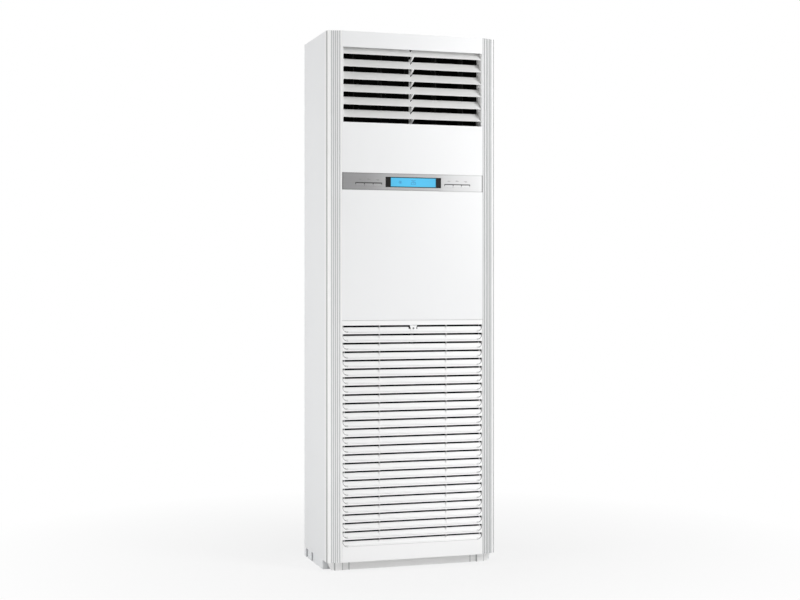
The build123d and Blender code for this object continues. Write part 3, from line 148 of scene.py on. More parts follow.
class StageSettings(bpy.types.PropertyGroup):
    """Camera and light of the studio."""
    eye: FloatVectorProperty(
        name="Camera", description="Where the camera stands",
        subtype="TRANSLATION", unit="LENGTH", size=3, default=(-1.519, -4.742, 0.9658))
    turn: FloatProperty(
        name="Turn", description="Camera's turn to the right of straight ahead",
        subtype="ANGLE", default=math.radians(17.80))
    lens: FloatProperty(
        name="Lens", description="Focal length on a 36 mm sensor, in millimetres",
        min=10.0, max=300.0, default=64.157)
    shift: FloatProperty(
        name="Shift", description="Vertical shift that puts the horizon where the photograph has it",
        min=-0.5, max=0.5, default=-0.02218)
    sky: FloatProperty(
        name="Sky", description="Strength of the even light from all round",
        min=0.0, max=5.0, default=0.41)
    key: FloatProperty(
        name="Key light", description="Power of the soft lamp at the right, in watts",
        min=0.0, max=2000.0, default=34.5)
    fill: FloatProperty(
        name="Fill light", description="Power of the soft lamp at the left, in watts",
        min=0.0, max=2000.0, default=30.0)
    low: FloatProperty(
        name="Low light", description="Power of the flat lamp that lights the plinth, in watts",
        min=0.0, max=2000.0, default=5.0)
    rear: FloatProperty(
        name="Rear light", description="Power of the soft lamp behind the cabinet, in watts",
        min=0.0, max=2000.0, default=12.0)


# ---------------------------------------------------------------- shader graphs

class Value:
    """One socket of a graph; arithmetic on it adds Math nodes."""

    def __init__(self, graph, socket):
        self.graph = graph
        self.socket = socket

    def math(self, operation, *others):
        made = self.graph.add("ShaderNodeMath", {"operation": operation}, (self, *others))
        return made["Value"]

    def __add__(self, other):
        return self.math("ADD", other)

    def __sub__(self, other):
        return self.math("SUBTRACT", other)

    def __mul__(self, other):
        return self.math("MULTIPLY", other)

    def __truediv__(self, other):
        return self.math("DIVIDE", other)

    def __radd__(self, other):
        return self.math("ADD", other)

    def __rmul__(self, other):
        return self.math("MULTIPLY", other)

    def __rsub__(self, other):
        return (self * -1.0).math("ADD", other)

    def __abs__(self):
        return self.math("ABSOLUTE")

    def below(self, limit):
        """1 where the value is under the limit, else 0."""
        return self.math("LESS_THAN", limit)

    def above(self, limit):
        """1 where the value is over the limit, else 0."""
        return self.math("GREATER_THAN", limit)

    def least(self, other):
        return self.math("MINIMUM", other)

    def most(self, other):
        return self.math("MAXIMUM", other)

    def within(self, low, high):
        """1 between two limits, else 0."""
        return self.above(low) * self.below(high)


class Made:
    """A node, whose outputs are read by name or by number."""

    def __init__(self, graph, node):
        self.graph = graph
        self.node = node

    def __getitem__(self, key):
        return Value(self.graph, self.node.outputs[key])


class Graph:
    """A material and the one way in which its nodes are made."""

    def __init__(self, name):
        self.material = bpy.data.materials.new(name)
        self.material.use_nodes = True
        self.tree = self.material.node_tree
        self.tree.nodes.clear()
        self.place = self.add("ShaderNodeTexCoord")["Object"]
        split = self.add("ShaderNodeSeparateXYZ", {}, (self.place,))
        self.x, self.y, self.z = split["X"], split["Y"], split["Z"]

    def add(self, kind, settings=None, inputs=()):
        """Node of a type: settings first, then the value or link of each input."""
        node = self.tree.nodes.new(kind)
        for name, value in (settings or {}).items():
            if name == "stops":
                self._stops(node.color_ramp, value)
            else:
                setattr(node, name, value)
        pairs = inputs.items() if isinstance(inputs, dict) else enumerate(inputs)
        for key, value in pairs:
            socket = node.inputs[key]
            if isinstance(value, Value):
                self.tree.links.new(value.socket, socket)
            else:
                socket.default_value = value
        return Made(self, node)

    @staticmethod
    def _stops(ramp, stops):
        while len(ramp.elements) > 1:
            ramp.elements.remove(ramp.elements[-1])
        for index, (position, colour) in enumerate(stops):
            element = ramp.elements[0] if index == 0 else ramp.elements.new(position)
            element.position = position
            element.color = (*colour, 1.0)

    def noise(self, scale, detail=3.0, rough=0.5, stretch=None):
        """Even noise from 0 to 1, finer with scale, drawn out where stretch is small."""
        place = self.place
        if stretch is not None:
            place = self.add("ShaderNodeMapping", {}, {"Vector": place, "Scale": stretch})["Vector"]
        sockets = {"Vector": place, "Scale": scale, "Detail": detail, "Roughness": rough}
        return self.add("ShaderNodeTexNoise", {}, sockets)["Fac"]

    def cells(self, scale, output="Distance"):
        """Nearest-point cells: the distance to the point, or the cell's own colour."""
        sockets = {"Vector": self.place, "Scale": scale}
        return self.add("ShaderNodeTexVoronoi", {"feature": "F1"}, sockets)[output]

    def blend(self, share, first, second):
        """Colour that goes from first to second with share."""
        mix = self.add("ShaderNodeMix", {"data_type": "RGBA"})
        for index, value in ((0, share), (6, first), (7, second)):
            socket = mix.node.inputs[index]
            if isinstance(value, Value):
                self.tree.links.new(value.socket, socket)
            elif index == 0:
                socket.default_value = value
            else:
                socket.default_value = (*value, 1.0)
        return Value(self, mix.node.outputs[2])

    def bump(self, height, distance, strength=1.0):
        """Normal tilted as a relief of that height, in metres, would tilt it."""
        sockets = {"Height": height, "Distance": distance, "Strength": strength}
        return self.add("ShaderNodeBump", {}, sockets)["Normal"]

    def finish(self, **sockets):
        """Principled surface; a socket's name is written with underscores."""
        inputs = {name.replace("_", " "): value for name, value in sockets.items()}
        shader = self.add("ShaderNodeBsdfPrincipled", {}, inputs)
        out = self.add("ShaderNodeOutputMaterial", {"target": "ALL"})
        self.tree.links.new(shader["BSDF"].socket, out.node.inputs["Surface"])
        return self.material


def shade(colour, factor):
    """A colour made darker or lighter, never past white."""
    return tuple(min(1.0, part * factor) for part in colour)


# ---------------------------------------------------------------- finishes

def satin(g, colour):
    """The moulding's colour with faint flow marks, its uneven gloss and its fine orange peel."""
    base = g.blend(g.noise(2.2, 2.0, 0.45), shade(colour, 0.985), shade(colour, 1.012))
    rough = 0.30 + 0.10 * g.noise(34.0, 3.0, 0.6)
    return base, rough, g.bump(g.noise(620.0, 2.0, 0.5), 0.00003, 0.35)


def louvre_white(colour):
    """The moulding as it is."""
    g = Graph("louvre white")
    base, rough, normal = satin(g, colour)
    return g.finish(Base_Color=base, Roughness=rough, Normal=normal, Specular_IOR_Level=SATIN_SPECULAR)


def panel_white(colour):
    """The moulding of the front panel, painted black as shade where the silver band covers it."""
    g = Graph("panel white")
    base, rough, normal = satin(g, colour)
    # Painted shade: the front panel behind the silver band is made black.
    shade_behind_band = g.y.above(FRONT + 0.0012) * g.z.within(BAND_LOW.z - 0.0005, BAND_HIGH.z + 0.0005)
    return g.finish(Base_Color=g.blend(shade_behind_band * 0.96, base, BLACK), Roughness=rough, Normal=normal,
                    Specular_IOR_Level=SATIN_SPECULAR)


def slotted_white(colour):
    """The moulding of the intake grille, with the shadow that lies in the groove round each scoop,
    inside the scoops, in the slits beside the lock's tab, on the ribs and in the seam on top."""
    g = Graph("slotted white")
    base, rough, normal = satin(g, colour)
    depth = g.y - FRONT
    across = abs(g.x)
    shadow = depth.within(*GROOVE) * (0.30 + 0.66 * across.above(SLOT_END))
    lock_z = (LOCK_LOW.z + LOCK_HIGH.z) / 2
    slit = depth.above(0.0006) * across.within(*TAB_SLIT) * g.z.within(lock_z - 0.002, lock_z + 0.012)
    inner = depth.above(SCOOP_INSIDE)
    phase = ((g.z - (SLOT_TOP - SLOT_PITCH / 2)) / SLOT_PITCH).math("FRACT")
    rib = depth.above(0.0007) * across.within(*RIB) * abs(phase - 0.5).below(0.118)
    seam = g.z.above(GRILLE_TOP - 0.0012)
    shadow = shadow.most(slit * 0.95).most(inner * 0.985).most(rib * 0.62).most(seam * 0.30)
    return g.finish(Base_Color=g.blend(shadow, base, (0.008, 0.008, 0.009)),
                    Roughness=rough + 0.3 * inner, Normal=normal, Specular_IOR_Level=SATIN_SPECULAR)


def fluted_white(colour, highlight_colour, groove):
    """The moulding of the columns, with painted shade as grey in their five grooves and in the joint along
    the right column's inner edge and as a dark crease along the outer corner, and painted highlight as
    brighter strips at both edges. Grooves and crease are wider on the right column."""
    g = Graph("fluted white")
    base, rough, normal = satin(g, colour)
    across = abs(g.x)
    right = g.x.above(0.0)
    face = g.y.below(COLUMN_BACK) * g.y.above(FRONT - 0.0001)
    # Painted highlight: brighter strips along both edges of a column, fainter on the right column.
    highlight_strip = across.above(0.2868).most(across.below(0.2545)) * (1.0 - 0.75 * right)
    base = g.blend(highlight_strip, base, highlight_colour)
    nearest = None
    for flute in FLUTES:
        away = abs(across - (COLUMN_START + flute))
        nearest = away if nearest is None else nearest.least(away)
    # Painted shade: grey in the five grooves and in the joint along the right column's inner edge.
    joint_shade = right * across.below(0.2538)
    groove_shade = nearest.below(0.0012 + 0.0008 * right).most(joint_shade) * face
    base = g.blend(groove_shade * (0.72 + 0.16 * right), base, groove)
    # Painted shade: a darker grey crease along the outer corner.
    crease = across.above(0.2966 - 0.0030 * right) * abs(g.y - CREASE_Y).below(0.0046 + 0.0030 * right)
    base = g.blend(crease * (0.62 + 0.38 * right), base, shade(groove, 0.58))
    return g.finish(Base_Color=base, Roughness=rough + 0.25 * groove_shade, Normal=normal,
                    Specular_IOR_Level=SATIN_SPECULAR)


def enamelled_steel(colour):
    """Stoved enamel on sheet steel: a soft orange peel with slight clouding."""
    g = Graph("enamelled steel")
    cloud = g.noise(3.0, 3.0, 0.5)
    peel = g.noise(340.0, 3.0, 0.55)
    grit = g.noise(1500.0, 1.0, 0.5)
    base = g.blend(cloud, shade(colour, 0.982), shade(colour, 1.015))
    rough = 0.34 + 0.12 * g.noise(22.0, 3.0, 0.6)
    return g.finish(Base_Color=base, Roughness=rough, Normal=g.bump(peel * 0.8 + grit * 0.2, 0.00005, 0.4),
                    Specular_IOR_Level=0.5)


def plinth_white(colour, line):
    """Enamel on the plinth, with dark lines painted as shade at the steps of its raised parts."""
    g = Graph("plinth enamel")
    cloud = g.noise(3.0, 3.0, 0.5)
    scuff = g.noise(70.0, 4.0, 0.7, (0.25, 1.0, 1.0)).above(0.66)
    base = g.blend(cloud, shade(colour, 0.985), shade(colour, 1.012))
    base = g.blend(scuff * 0.06, base, line)
    across = abs(g.x)
    step = None
    for edge in PLINTH_STEPS:
        here = abs(across - edge).below(0.0017)
        step = here if step is None else step.most(here)
    # Painted shade: dark lines at the steps of the raised parts, near the plinth's front.
    base = g.blend(step * 0.85 * g.y.below(PLINTH_LOW.y + 0.0045), base, line)
    return g.finish(Base_Color=base, Roughness=0.36 + 0.12 * g.noise(22.0, 3.0, 0.6),
                    Normal=g.bump(g.noise(340.0, 3.0, 0.55), 0.00005, 0.4))


def key_gap_shade(g):
    """1 on the painted shade at the keys: a dark stroke along the gap above each row of keys and ticks in
    the gaps between the keys.
    """
    across = abs(g.x)
    along = (across - KEY_START) / KEY_PITCH
    in_row = across.within(KEY_START - 0.0015, KEY_START + 3 * KEY_PITCH + 0.0015)
    stroke = g.z.within(KEY_TOP + 0.0017, KEY_TOP + 0.0033)
    to_tick = abs((along + 0.5).math("FRACT") - 0.5) * KEY_PITCH
    tick = to_tick.below(0.0015) * g.z.within(KEY_TOP - 0.0034, KEY_TOP + 0.0033)
    return in_row * stroke.most(tick)


def lacquer_layers(g, left, right):
    """The lacquer's colour along the band as a painted reflection, with painted shade and a painted
    highlight at its ends, painted shade at the keys' gaps, darker rims, its streaks and flakes.
    """
    along = (g.x - BAND_LOW.x) / (BAND_HIGH.x - BAND_LOW.x)
    # Painted reflection: the ramp runs from deep at the left end to pale at the right. Painted shade: a
    # dark edge at the left end and a dark line at the right end, with a painted highlight just inside it.
    edge = shade(left, 0.45)
    ramp = g.add("ShaderNodeValToRGB", {"stops": [
        (0.0, edge), (0.003, edge), (0.006, shade(left, 0.96)), (0.16, shade(left, 1.02)),
        (0.30, shade(left, 1.38)), (0.66, shade(right, 0.66)), (0.72, shade(right, 0.80)),
        (0.80, shade(right, 0.88)), (0.92, shade(right, 0.95)), (0.975, right),
        (0.984, shade(right, 1.04)), (0.994, shade(right, 1.04)), (0.997, shade(right, 0.38)),
        (1.0, shade(right, 0.38))]}, (along,))
    streak = g.noise(260.0, 3.0, 0.6, (0.03, 1.0, 1.6))
    flake = g.noise(2400.0, 1.0, 0.5)
    base = g.blend(0.05 * streak, ramp["Color"], WHITE)
    rim = g.z.below(BAND_LOW.z + 0.0026).most(g.z.above(BAND_HIGH.z - 0.0026))
    base = g.blend(rim * 0.22, base, BLACK)
    # Painted shade: a dark stroke in the gap above each row of keys and ticks in the gaps between them.
    return g.blend(key_gap_shade(g) * 0.90, base, (0.02, 0.02, 0.02)), streak, flake


def silver_lacquer(left, right):
    """Silver lacquer with a painted reflection, deep at the left end and pale at the right, and fine drawn
    streaks.
    """
    g = Graph("silver lacquer")
    base, streak, flake = lacquer_layers(g, left, right)
    rough = 0.34 + 0.10 * streak + 0.05 * flake
    return g.finish(Base_Color=base, Roughness=rough, Metallic=0.25,
                    Normal=g.bump(streak * 0.6 + flake * 0.4, 0.00002, 0.3))


def gloss_black():
    """Polished black frame with faint hairlines, and the display's backlight painted as a dark teal on the
    thin rims above and below the window."""
    g = Graph("gloss black")
    hair = g.noise(420.0, 2.0, 0.6, (0.08, 1.0, 1.0))
    base = g.blend(hair, (0.006, 0.006, 0.0055), (0.010, 0.0095, 0.009))
    # Painted light: the display's backlight, as a dark teal on the bezel's rims above and below the window.
    rims = g.x.within(WINDOW_LOW.x, WINDOW_HIGH.x)
    base = g.blend(rims * 0.9, base, (0.020, 0.080, 0.100))
    return g.finish(Base_Color=base, Roughness=0.20 + 0.08 * hair,
                    Normal=g.bump(g.noise(90.0, 2.0), 0.00002, 0.2), Specular_IOR_Level=0.16)


def lit_display(blue):
    """Backlit panel: even blue with a soft glow at its middle and a fine cell pattern."""
    g = Graph("lit display")
    middle = (WINDOW_LOW.x + WINDOW_HIGH.x) / 2
    half = (WINDOW_HIGH.x - WINDOW_LOW.x) / 2
    off = abs(g.x - middle) / half
    glow = 1.0 - 0.12 * off * off
    cell = (g.x * 900.0).math("FRACT").above(0.12) * (g.z * 900.0).math("FRACT").above(0.12)
    lit = g.blend(glow * (0.94 + 0.06 * cell), BLACK, blue)
    return g.finish(Base_Color=g.blend(cell, shade(blue, 0.20), shade(blue, 0.24)),
                    Roughness=0.12 + 0.05 * g.noise(60.0), Emission_Color=lit, Emission_Strength=0.76,
                    Coat_Weight=0.3)


def symbol_ink(colour):
    """Dimmer parts of the backlit panel, in the same cells."""
    g = Graph("display ink")
    cell = (g.x * 900.0).math("FRACT").above(0.12)
    base = g.blend(cell, shade(colour, 0.9), colour)
    return g.finish(Base_Color=g.blend(0.6, base, BLACK), Roughness=0.25 + 0.05 * g.noise(80.0),
                    Emission_Color=base, Emission_Strength=0.70)


def printed_grey():
    """Screen-printed ink with fine specks."""
    g = Graph("printed grey")
    speck = g.noise(900.0, 2.0, 0.5)
    base = g.blend(speck, (0.13, 0.13, 0.135), (0.22, 0.22, 0.225))
    return g.finish(Base_Color=base, Roughness=0.5 + 0.1 * speck)


def key_silver(left, right):
    """Keys in the band's lacquer, with its painted reflection and painted shade, and rubbed middles; what
    lies behind the band is painted black as shade.
    """
    g = Graph("key silver")
    base, streak, flake = lacquer_layers(g, left, right)
    rub = g.noise(150.0, 3.0, 0.6)
    # Painted shade: black on whatever lies behind the band's front.
    behind = g.y.above(FRONT + 0.0009)
    base = g.blend(0.05 * rub, base, WHITE)
    return g.finish(Base_Color=g.blend(behind * 0.97, base, BLACK),
                    Roughness=0.30 + 0.14 * rub + 0.3 * behind, Metallic=0.25 - 0.25 * behind,
                    Normal=g.bump(flake, 0.00002, 0.3))


def closed_foam(colour):
    """Black foam lining: open pits of two sizes under a dull skin."""
    g = Graph("duct foam")
    pits = g.cells(420.0)
    fine = g.cells(1300.0)
    base = g.blend(pits, shade(colour, 0.6), shade(colour, 1.6))
    return g.finish(Base_Color=base, Roughness=0.90 + 0.08 * g.noise(60.0),
                    Normal=g.bump(pits * 0.7 + fine * 0.3, 0.0003, 0.5), Specular_IOR_Level=0.12)


def dull_moulding(name, colour, rough=0.55, peel_scale=700.0):
    """Plain engineering plastic with sink marks and a spark-eroded grain."""
    g = Graph(name)
    sink = g.noise(14.0, 2.0, 0.5)
    grain = g.noise(peel_scale, 2.0, 0.6)
    base = g.blend(sink, shade(colour, 0.92), shade(colour, 1.10))
    return g.finish(Base_Color=base, Roughness=rough + 0.12 * grain,
                    Normal=g.bump(grain, 0.00006, 0.5), Specular_IOR_Level=0.35)


def galvanised():
    """Zinc-coated sheet: spangle of angular crystals, each with its own tone and gloss."""
    g = Graph("galvanised steel")
    tone = g.add("ShaderNodeSeparateColor", {}, (g.cells(95.0, "Color"),))["Red"]
    streak = g.noise(180.0, 3.0, 0.6, (1.0, 1.0, 0.12))
    base = g.blend(tone * 0.7 + streak * 0.3, (0.46, 0.48, 0.50), (0.66, 0.68, 0.70))
    return g.finish(Base_Color=base, Metallic=0.9, Roughness=0.44 + 0.16 * tone + 0.06 * streak,
                    Normal=g.bump(tone * 0.5 + streak * 0.5, 0.00004, 0.3))


def plated_screw():
    """Dulled plating, darker than the panel that the screws hold."""
    g = Graph("plated steel")
    turn = g.noise(900.0, 2.0, 0.6)
    base = g.blend(turn, (0.20, 0.19, 0.16), (0.30, 0.28, 0.23))
    return g.finish(Base_Color=base, Metallic=0.8, Roughness=0.26 + 0.12 * turn,
                    Normal=g.bump(turn, 0.00003, 0.4))


def motor_paint():
    """Dark stove paint on a deep-drawn case, patchy in tone and gloss, with orange peel."""
    g = Graph("motor paint")
    peel = g.noise(420.0, 3.0, 0.6)
    dust = g.noise(9.0, 4.0, 0.65)
    base = g.blend(dust, (0.018, 0.019, 0.021), (0.045, 0.046, 0.048))
    return g.finish(Base_Color=base, Roughness=0.42 + 0.2 * dust, Normal=g.bump(peel, 0.00008, 0.5))


def ground_shaft():
    """Ground steel with fine rings across its length."""
    g = Graph("ground shaft")
    rings = (g.y * 5200.0).math("SINE") * 0.5 + 0.5
    stain = g.noise(70.0, 3.0, 0.6)
    base = g.blend(stain, (0.50, 0.50, 0.50), (0.64, 0.64, 0.63))
    return g.finish(Base_Color=base, Metallic=1.0, Roughness=0.22 + 0.10 * stain,
                    Normal=g.bump(rings, 0.00001, 0.4))


def fin_stock():
    """Aluminium fins: close upright lines across the slab and a dull oxide bloom."""
    g = Graph("fin stock")
    lines = (g.x * 3490.0).math("SINE") * 0.5 + 0.5
    bloom = g.noise(30.0, 4.0, 0.6)
    base = g.blend(lines * 0.6 + bloom * 0.4, (0.30, 0.31, 0.32), (0.74, 0.75, 0.76))
    return g.finish(Base_Color=base, Metallic=0.85, Roughness=0.34 + 0.2 * bloom,
                    Normal=g.bump(lines, 0.0006, 0.9))


def drawn_copper():
    """Copper tube: bright draw lines under patches of brown oxide."""
    g = Graph("drawn copper")
    oxide = g.noise(46.0, 4.0, 0.62)
    draw = g.noise(800.0, 2.0, 0.5)
    base = g.blend(oxide, (0.72, 0.33, 0.19), (0.42, 0.17, 0.10))
    return g.finish(Base_Color=base, Metallic=0.95, Roughness=0.22 + 0.26 * oxide,
                    Normal=g.bump(draw, 0.00002, 0.3))


def turned_brass():
    """Brass with turning rings across its length and brown stain."""
    g = Graph("turned brass")
    rings = (g.y * 7800.0).math("SINE") * 0.5 + 0.5
    stain = g.noise(120.0, 3.0, 0.6)
    base = g.blend(stain, (0.66, 0.47, 0.18), (0.50, 0.34, 0.12))
    return g.finish(Base_Color=base, Metallic=0.95, Roughness=0.24 + 0.18 * stain,
                    Normal=g.bump(rings, 0.00002, 0.4))


def solder_mask():
    """Circuit board: green mask over a lattice of raised tracks."""
    g = Graph("solder mask")
    track = (g.x * 420.0).math("FRACT").below(0.35) * g.noise(60.0, 0.0).above(0.5)
    cross = (g.z * 420.0).math("FRACT").below(0.35) * g.noise(75.0, 0.0).above(0.52)
    copper = track.most(cross)
    base = g.blend(copper, (0.010, 0.085, 0.035), (0.020, 0.150, 0.065))
    return g.finish(Base_Color=base, Roughness=0.30 + 0.1 * g.noise(200.0),
                    Normal=g.bump(copper, 0.00004, 0.5), Coat_Weight=0.3)


def woven_net(colour):
    """Filter: the frame is solid and paler, and between its bars the net is strands on a darker ground."""
    g = Graph("woven net")
    warp = ((g.x * 620.0).math("FRACT") - 0.5).math("ABSOLUTE")
    weft = ((g.z * 620.0).math("FRACT") - 0.5).math("ABSOLUTE")
    strand = warp.above(0.30).most(weft.above(0.30))
    frame_part = abs(g.y - NET_PLANE).above(0.0006)
    base = g.blend(strand, shade(colour, 0.45), colour)
    return g.finish(Base_Color=g.blend(frame_part, base, shade(colour, 1.3)),
                    Roughness=0.62 + 0.1 * g.noise(400.0),
                    Normal=g.bump(strand, 0.0002, 0.5), Specular_IOR_Level=0.2)


def soft_rubber():
    """Black rubber with a grain and a greyish bloom."""
    g = Graph("soft rubber")
    grain = g.noise(800.0, 3.0, 0.6)
    bloom = g.noise(40.0, 3.0, 0.6)
    base = g.blend(bloom, (0.012, 0.012, 0.012), (0.030, 0.030, 0.029))
    return g.finish(Base_Color=base, Roughness=0.66 + 0.16 * grain, Normal=g.bump(grain, 0.00006, 0.5))


# ---------------------------------------------------------------- surfaces

def piece(name, points, faces, material, body):
    """Put an array of points and a list of faces into one mesh that rides on a body."""
    mesh = bpy.data.meshes.new(name)
    mesh.from_pydata(points.tolist(), [], faces)
    mesh.validate()
    mesh.update()
    mesh.materials.append(material)
    made = bpy.data.objects.new(name, mesh)
    bpy.context.scene.collection.objects.link(made)
    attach(made, body)
    return made


def strokes(lines, width, thick, ground):
    """Printed strokes on a plane y = ground. Each line from a to b is a stadium: its rim is two half
    circles of radius width / 2 about a and b, and its top lies thick in front of the ground."""
    lines = np.asarray(lines, float).reshape(-1, 2, 2)
    a, b = lines[:, 0], lines[:, 1]
    way = b - a
    heading = np.arctan2(way[:, 1], way[:, 0])
    steps = np.linspace(math.pi / 2, 3 * math.pi / 2, 7)
    first = heading[:, None] + steps[None, :]
    second = heading[:, None] + steps[None, :] - math.pi
    circle_a = a[:, None, :] + width / 2 * np.stack([np.cos(first), np.sin(first)], -1)
    circle_b = b[:, None, :] + width / 2 * np.stack([np.cos(second), np.sin(second)], -1)
    rim = np.concatenate([circle_a, circle_b], 1)
    count, size = rim.shape[:2]
    top = np.stack([rim[..., 0], np.full((count, size), ground - thick), rim[..., 1]], -1)
    low = top + np.array([0.0, thick, 0.0])
    points = np.concatenate([top, low], 1).reshape(-1, 3)
    faces = []
    ring = np.arange(size)
    for start in np.arange(count) * 2 * size:
        faces.append((start + ring).tolist())
        faces.append((start + size + ring[::-1]).tolist())
        after = (ring + 1) % size
        sides = np.stack([start + ring, start + size + ring, start + size + after, start + after], -1)
        faces += sides.tolist()
    return points, faces


def digit_lines(segments, left, low, height):
    """Seven-segment digit: the lines of the segments that are lit, in a box half as wide as high."""
    wide = height * 0.5
    right, middle, high = left + wide, low + height / 2, low + height
    every = {
        "a": ((left, high), (right, high)), "b": ((right, high), (right, middle)),
        "c": ((right, middle), (right, low)), "d": ((left, low), (right, low)),
        "e": ((left, middle), (left, low)), "f": ((left, high), (left, middle)),
        "g": ((left, middle), (right, middle))}
    return [every[s] for s in segments]


def snow_lines(x, z, radius):
    """Six spokes, each with a short pair of barbs two thirds of the way out."""
    lines = []
    for turn in np.arange(6) * math.pi / 3:
        way = np.array([math.cos(turn), math.sin(turn)])
        side = np.array([-way[1], way[0]])
        middle = np.array([x, z])
        knee = middle + way * radius * 0.55
        lines.append((middle, middle + way * radius))
        lines.append((knee, knee + (way * 0.5 + side * 0.6) * radius * 0.42))
        lines.append((knee, knee + (way * 0.5 - side * 0.6) * radius * 0.42))
    return lines


# ---------------------------------------------------------------- operators

class AIRCON_OT_finishes(bpy.types.Operator):
    """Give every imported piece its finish"""
    bl_idname = "aircon.finishes"
    bl_label = "Finishes"

    def execute(self, context):
        c = context.scene.aircon_finish
        # Painted light: the louvres, their link and frame take the paler copy of the white.
        white = louvre_white(tuple(c.louvre))
        enamel = enamelled_steel(tuple(c.enamel))
        zinc = galvanised()
        copper = drawn_copper()
        keys = key_silver(tuple(c.band_reflection_dark), tuple(c.band_reflection_light))
        vane = dull_moulding("vane black", tuple(c.duct_black), 0.75)
        net = woven_net((0.006, 0.007, 0.009))
        given = {
            "front_panel": panel_white(tuple(c.moulding)), "outlet_cassette": white,
            "return_grille": slotted_white(tuple(c.grille)),
            "pilaster_right": fluted_white(tuple(c.moulding), tuple(c.louvre), tuple(c.flute)),
            "side_panel_right": enamel, "side_panel_left": enamel, "top_cover": enamel,
            # Painted light: the plinth takes the louvres' paler white, standing in for light under the
            # front's overhang.
            "base_plinth": plinth_white(tuple(c.louvre), tuple(c.flute)),
            "rear_panel": zinc, "base_pan": zinc, "partition_shelf": zinc,
            "blower_housing": zinc, "inlet_ring": zinc, "motor_mount": zinc, "electrical_box": zinc,
            "electrical_box_cover": zinc, "swing_motor": zinc, "cabinet_screws": plated_screw(),
            "control_fascia": silver_lacquer(tuple(c.band_reflection_dark), tuple(c.band_reflection_light)),
            "display_bezel": gloss_black(), "display_window": lit_display(tuple(c.lit_blue)),
            "control_board": solder_mask(), "outlet_duct": closed_foam(tuple(c.duct_black)),
            "louvre_link": white, "vane_link": vane, "fan_motor": motor_paint(),
            "motor_shaft": ground_shaft(), "blower_wheel": dull_moulding("wheel grey", (0.07, 0.075, 0.08)),
            "evaporator_coil": fin_stock(), "coil_return_bends": copper, "gas_pipe": copper,
            "liquid_pipe": copper, "flare_unions": turned_brass(),
            "drain_pan": dull_moulding("pan grey", (0.55, 0.56, 0.57)),
            "drain_pipe": dull_moulding("pipe grey", (0.45, 0.46, 0.47)),
            "air_filter_right": net, "air_filter_left": net,
            "base_feet": dull_moulding("foot grey", (0.80, 0.81, 0.82)),
            "terminal_block": dull_moulding("terminal cream", (0.66, 0.64, 0.52)),
            "fan_capacitor": dull_moulding("capacitor black", (0.02, 0.02, 0.022)),
            "cable_grommet": soft_rubber(), "grille_lock": dull_moulding("lock grey", (0.22, 0.22, 0.23)),
        }
        given["pilaster_left"] = given["pilaster_right"]
        given.update({f"louvre_blade_{n}": white for n in range(1, 7)})
        given.update({f"air_vane_{n}": vane for n in range(1, 6)})
        given.update({f"control_key_{n}": keys for n in range(1, 7)})
        missing = sorted(set(NODES) - set(given))
        if missing:
            raise RuntimeError(f"no finish for {missing}")
        for name, material in given.items():
            mesh = NODES[name].data
            mesh.materials.clear()
            mesh.materials.append(material)
        return {"FINISHED"}


class AIRCON_OT_display_symbols(bpy.types.Operator):
    """Draw the cooling symbol and two digits on the display"""
    bl_idname = "aircon.display_symbols"
    bl_label = "Display symbols"

    def execute(self, context):
        s = context.scene.aircon_symbol
        middle_z = (WINDOW_LOW.z + WINDOW_HIGH.z) / 2
        low = middle_z - s.digit_height / 2
        lines = digit_lines("abged", -0.0075, low, s.digit_height)
        lines += digit_lines("afgecd", 0.0015, low, s.digit_height)
        points, faces = strokes(lines, s.digit_stroke, s.ink, WINDOW_LOW.y)
        ink = symbol_ink(tuple(context.scene.aircon_finish.symbol_blue))
        piece("display_digits", points, faces, ink, "cabinet")
        lines = snow_lines(-0.0465, middle_z, s.snow_radius)
        points, faces = strokes(lines, s.digit_stroke * 0.7, s.ink, WINDOW_LOW.y)
        piece("display_snow", points, faces, ink, "cabinet")
        return {"FINISHED"}


class AIRCON_OT_key_marks(bpy.types.Operator):
    """Print a plain mark above each key"""
    bl_idname = "aircon.key_marks"
    bl_label = "Key marks"

    def execute(self, context):
        s = context.scene.aircon_symbol
        h = s.mark_height
        lines = []
        for number in range(1, 7):
            low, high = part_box(f"control_key_{number}")
            x = (low.x + high.x) / 2
            z = BAND_LOW.z + MARK_RISE
            lines.append(((x - MARK_REACH, z), (x + MARK_REACH, z)))
            if number % 3 == 1:
                lines.append(((x, z - h / 2), (x, z + h / 2)))
            elif number % 3 == 2:
                lines.append(((x - MARK_REACH, z + h * 0.5), (x + MARK_STUB, z + h * 0.5)))
            else:
                lines.append(((x - MARK_STUB, z - h * 0.5), (x + MARK_REACH, z - h * 0.5)))
        points, faces = strokes(lines, s.mark_stroke, s.ink, FRONT)
        piece("key_marks", points, faces, printed_grey(), "cabinet")
        return {"FINISHED"}


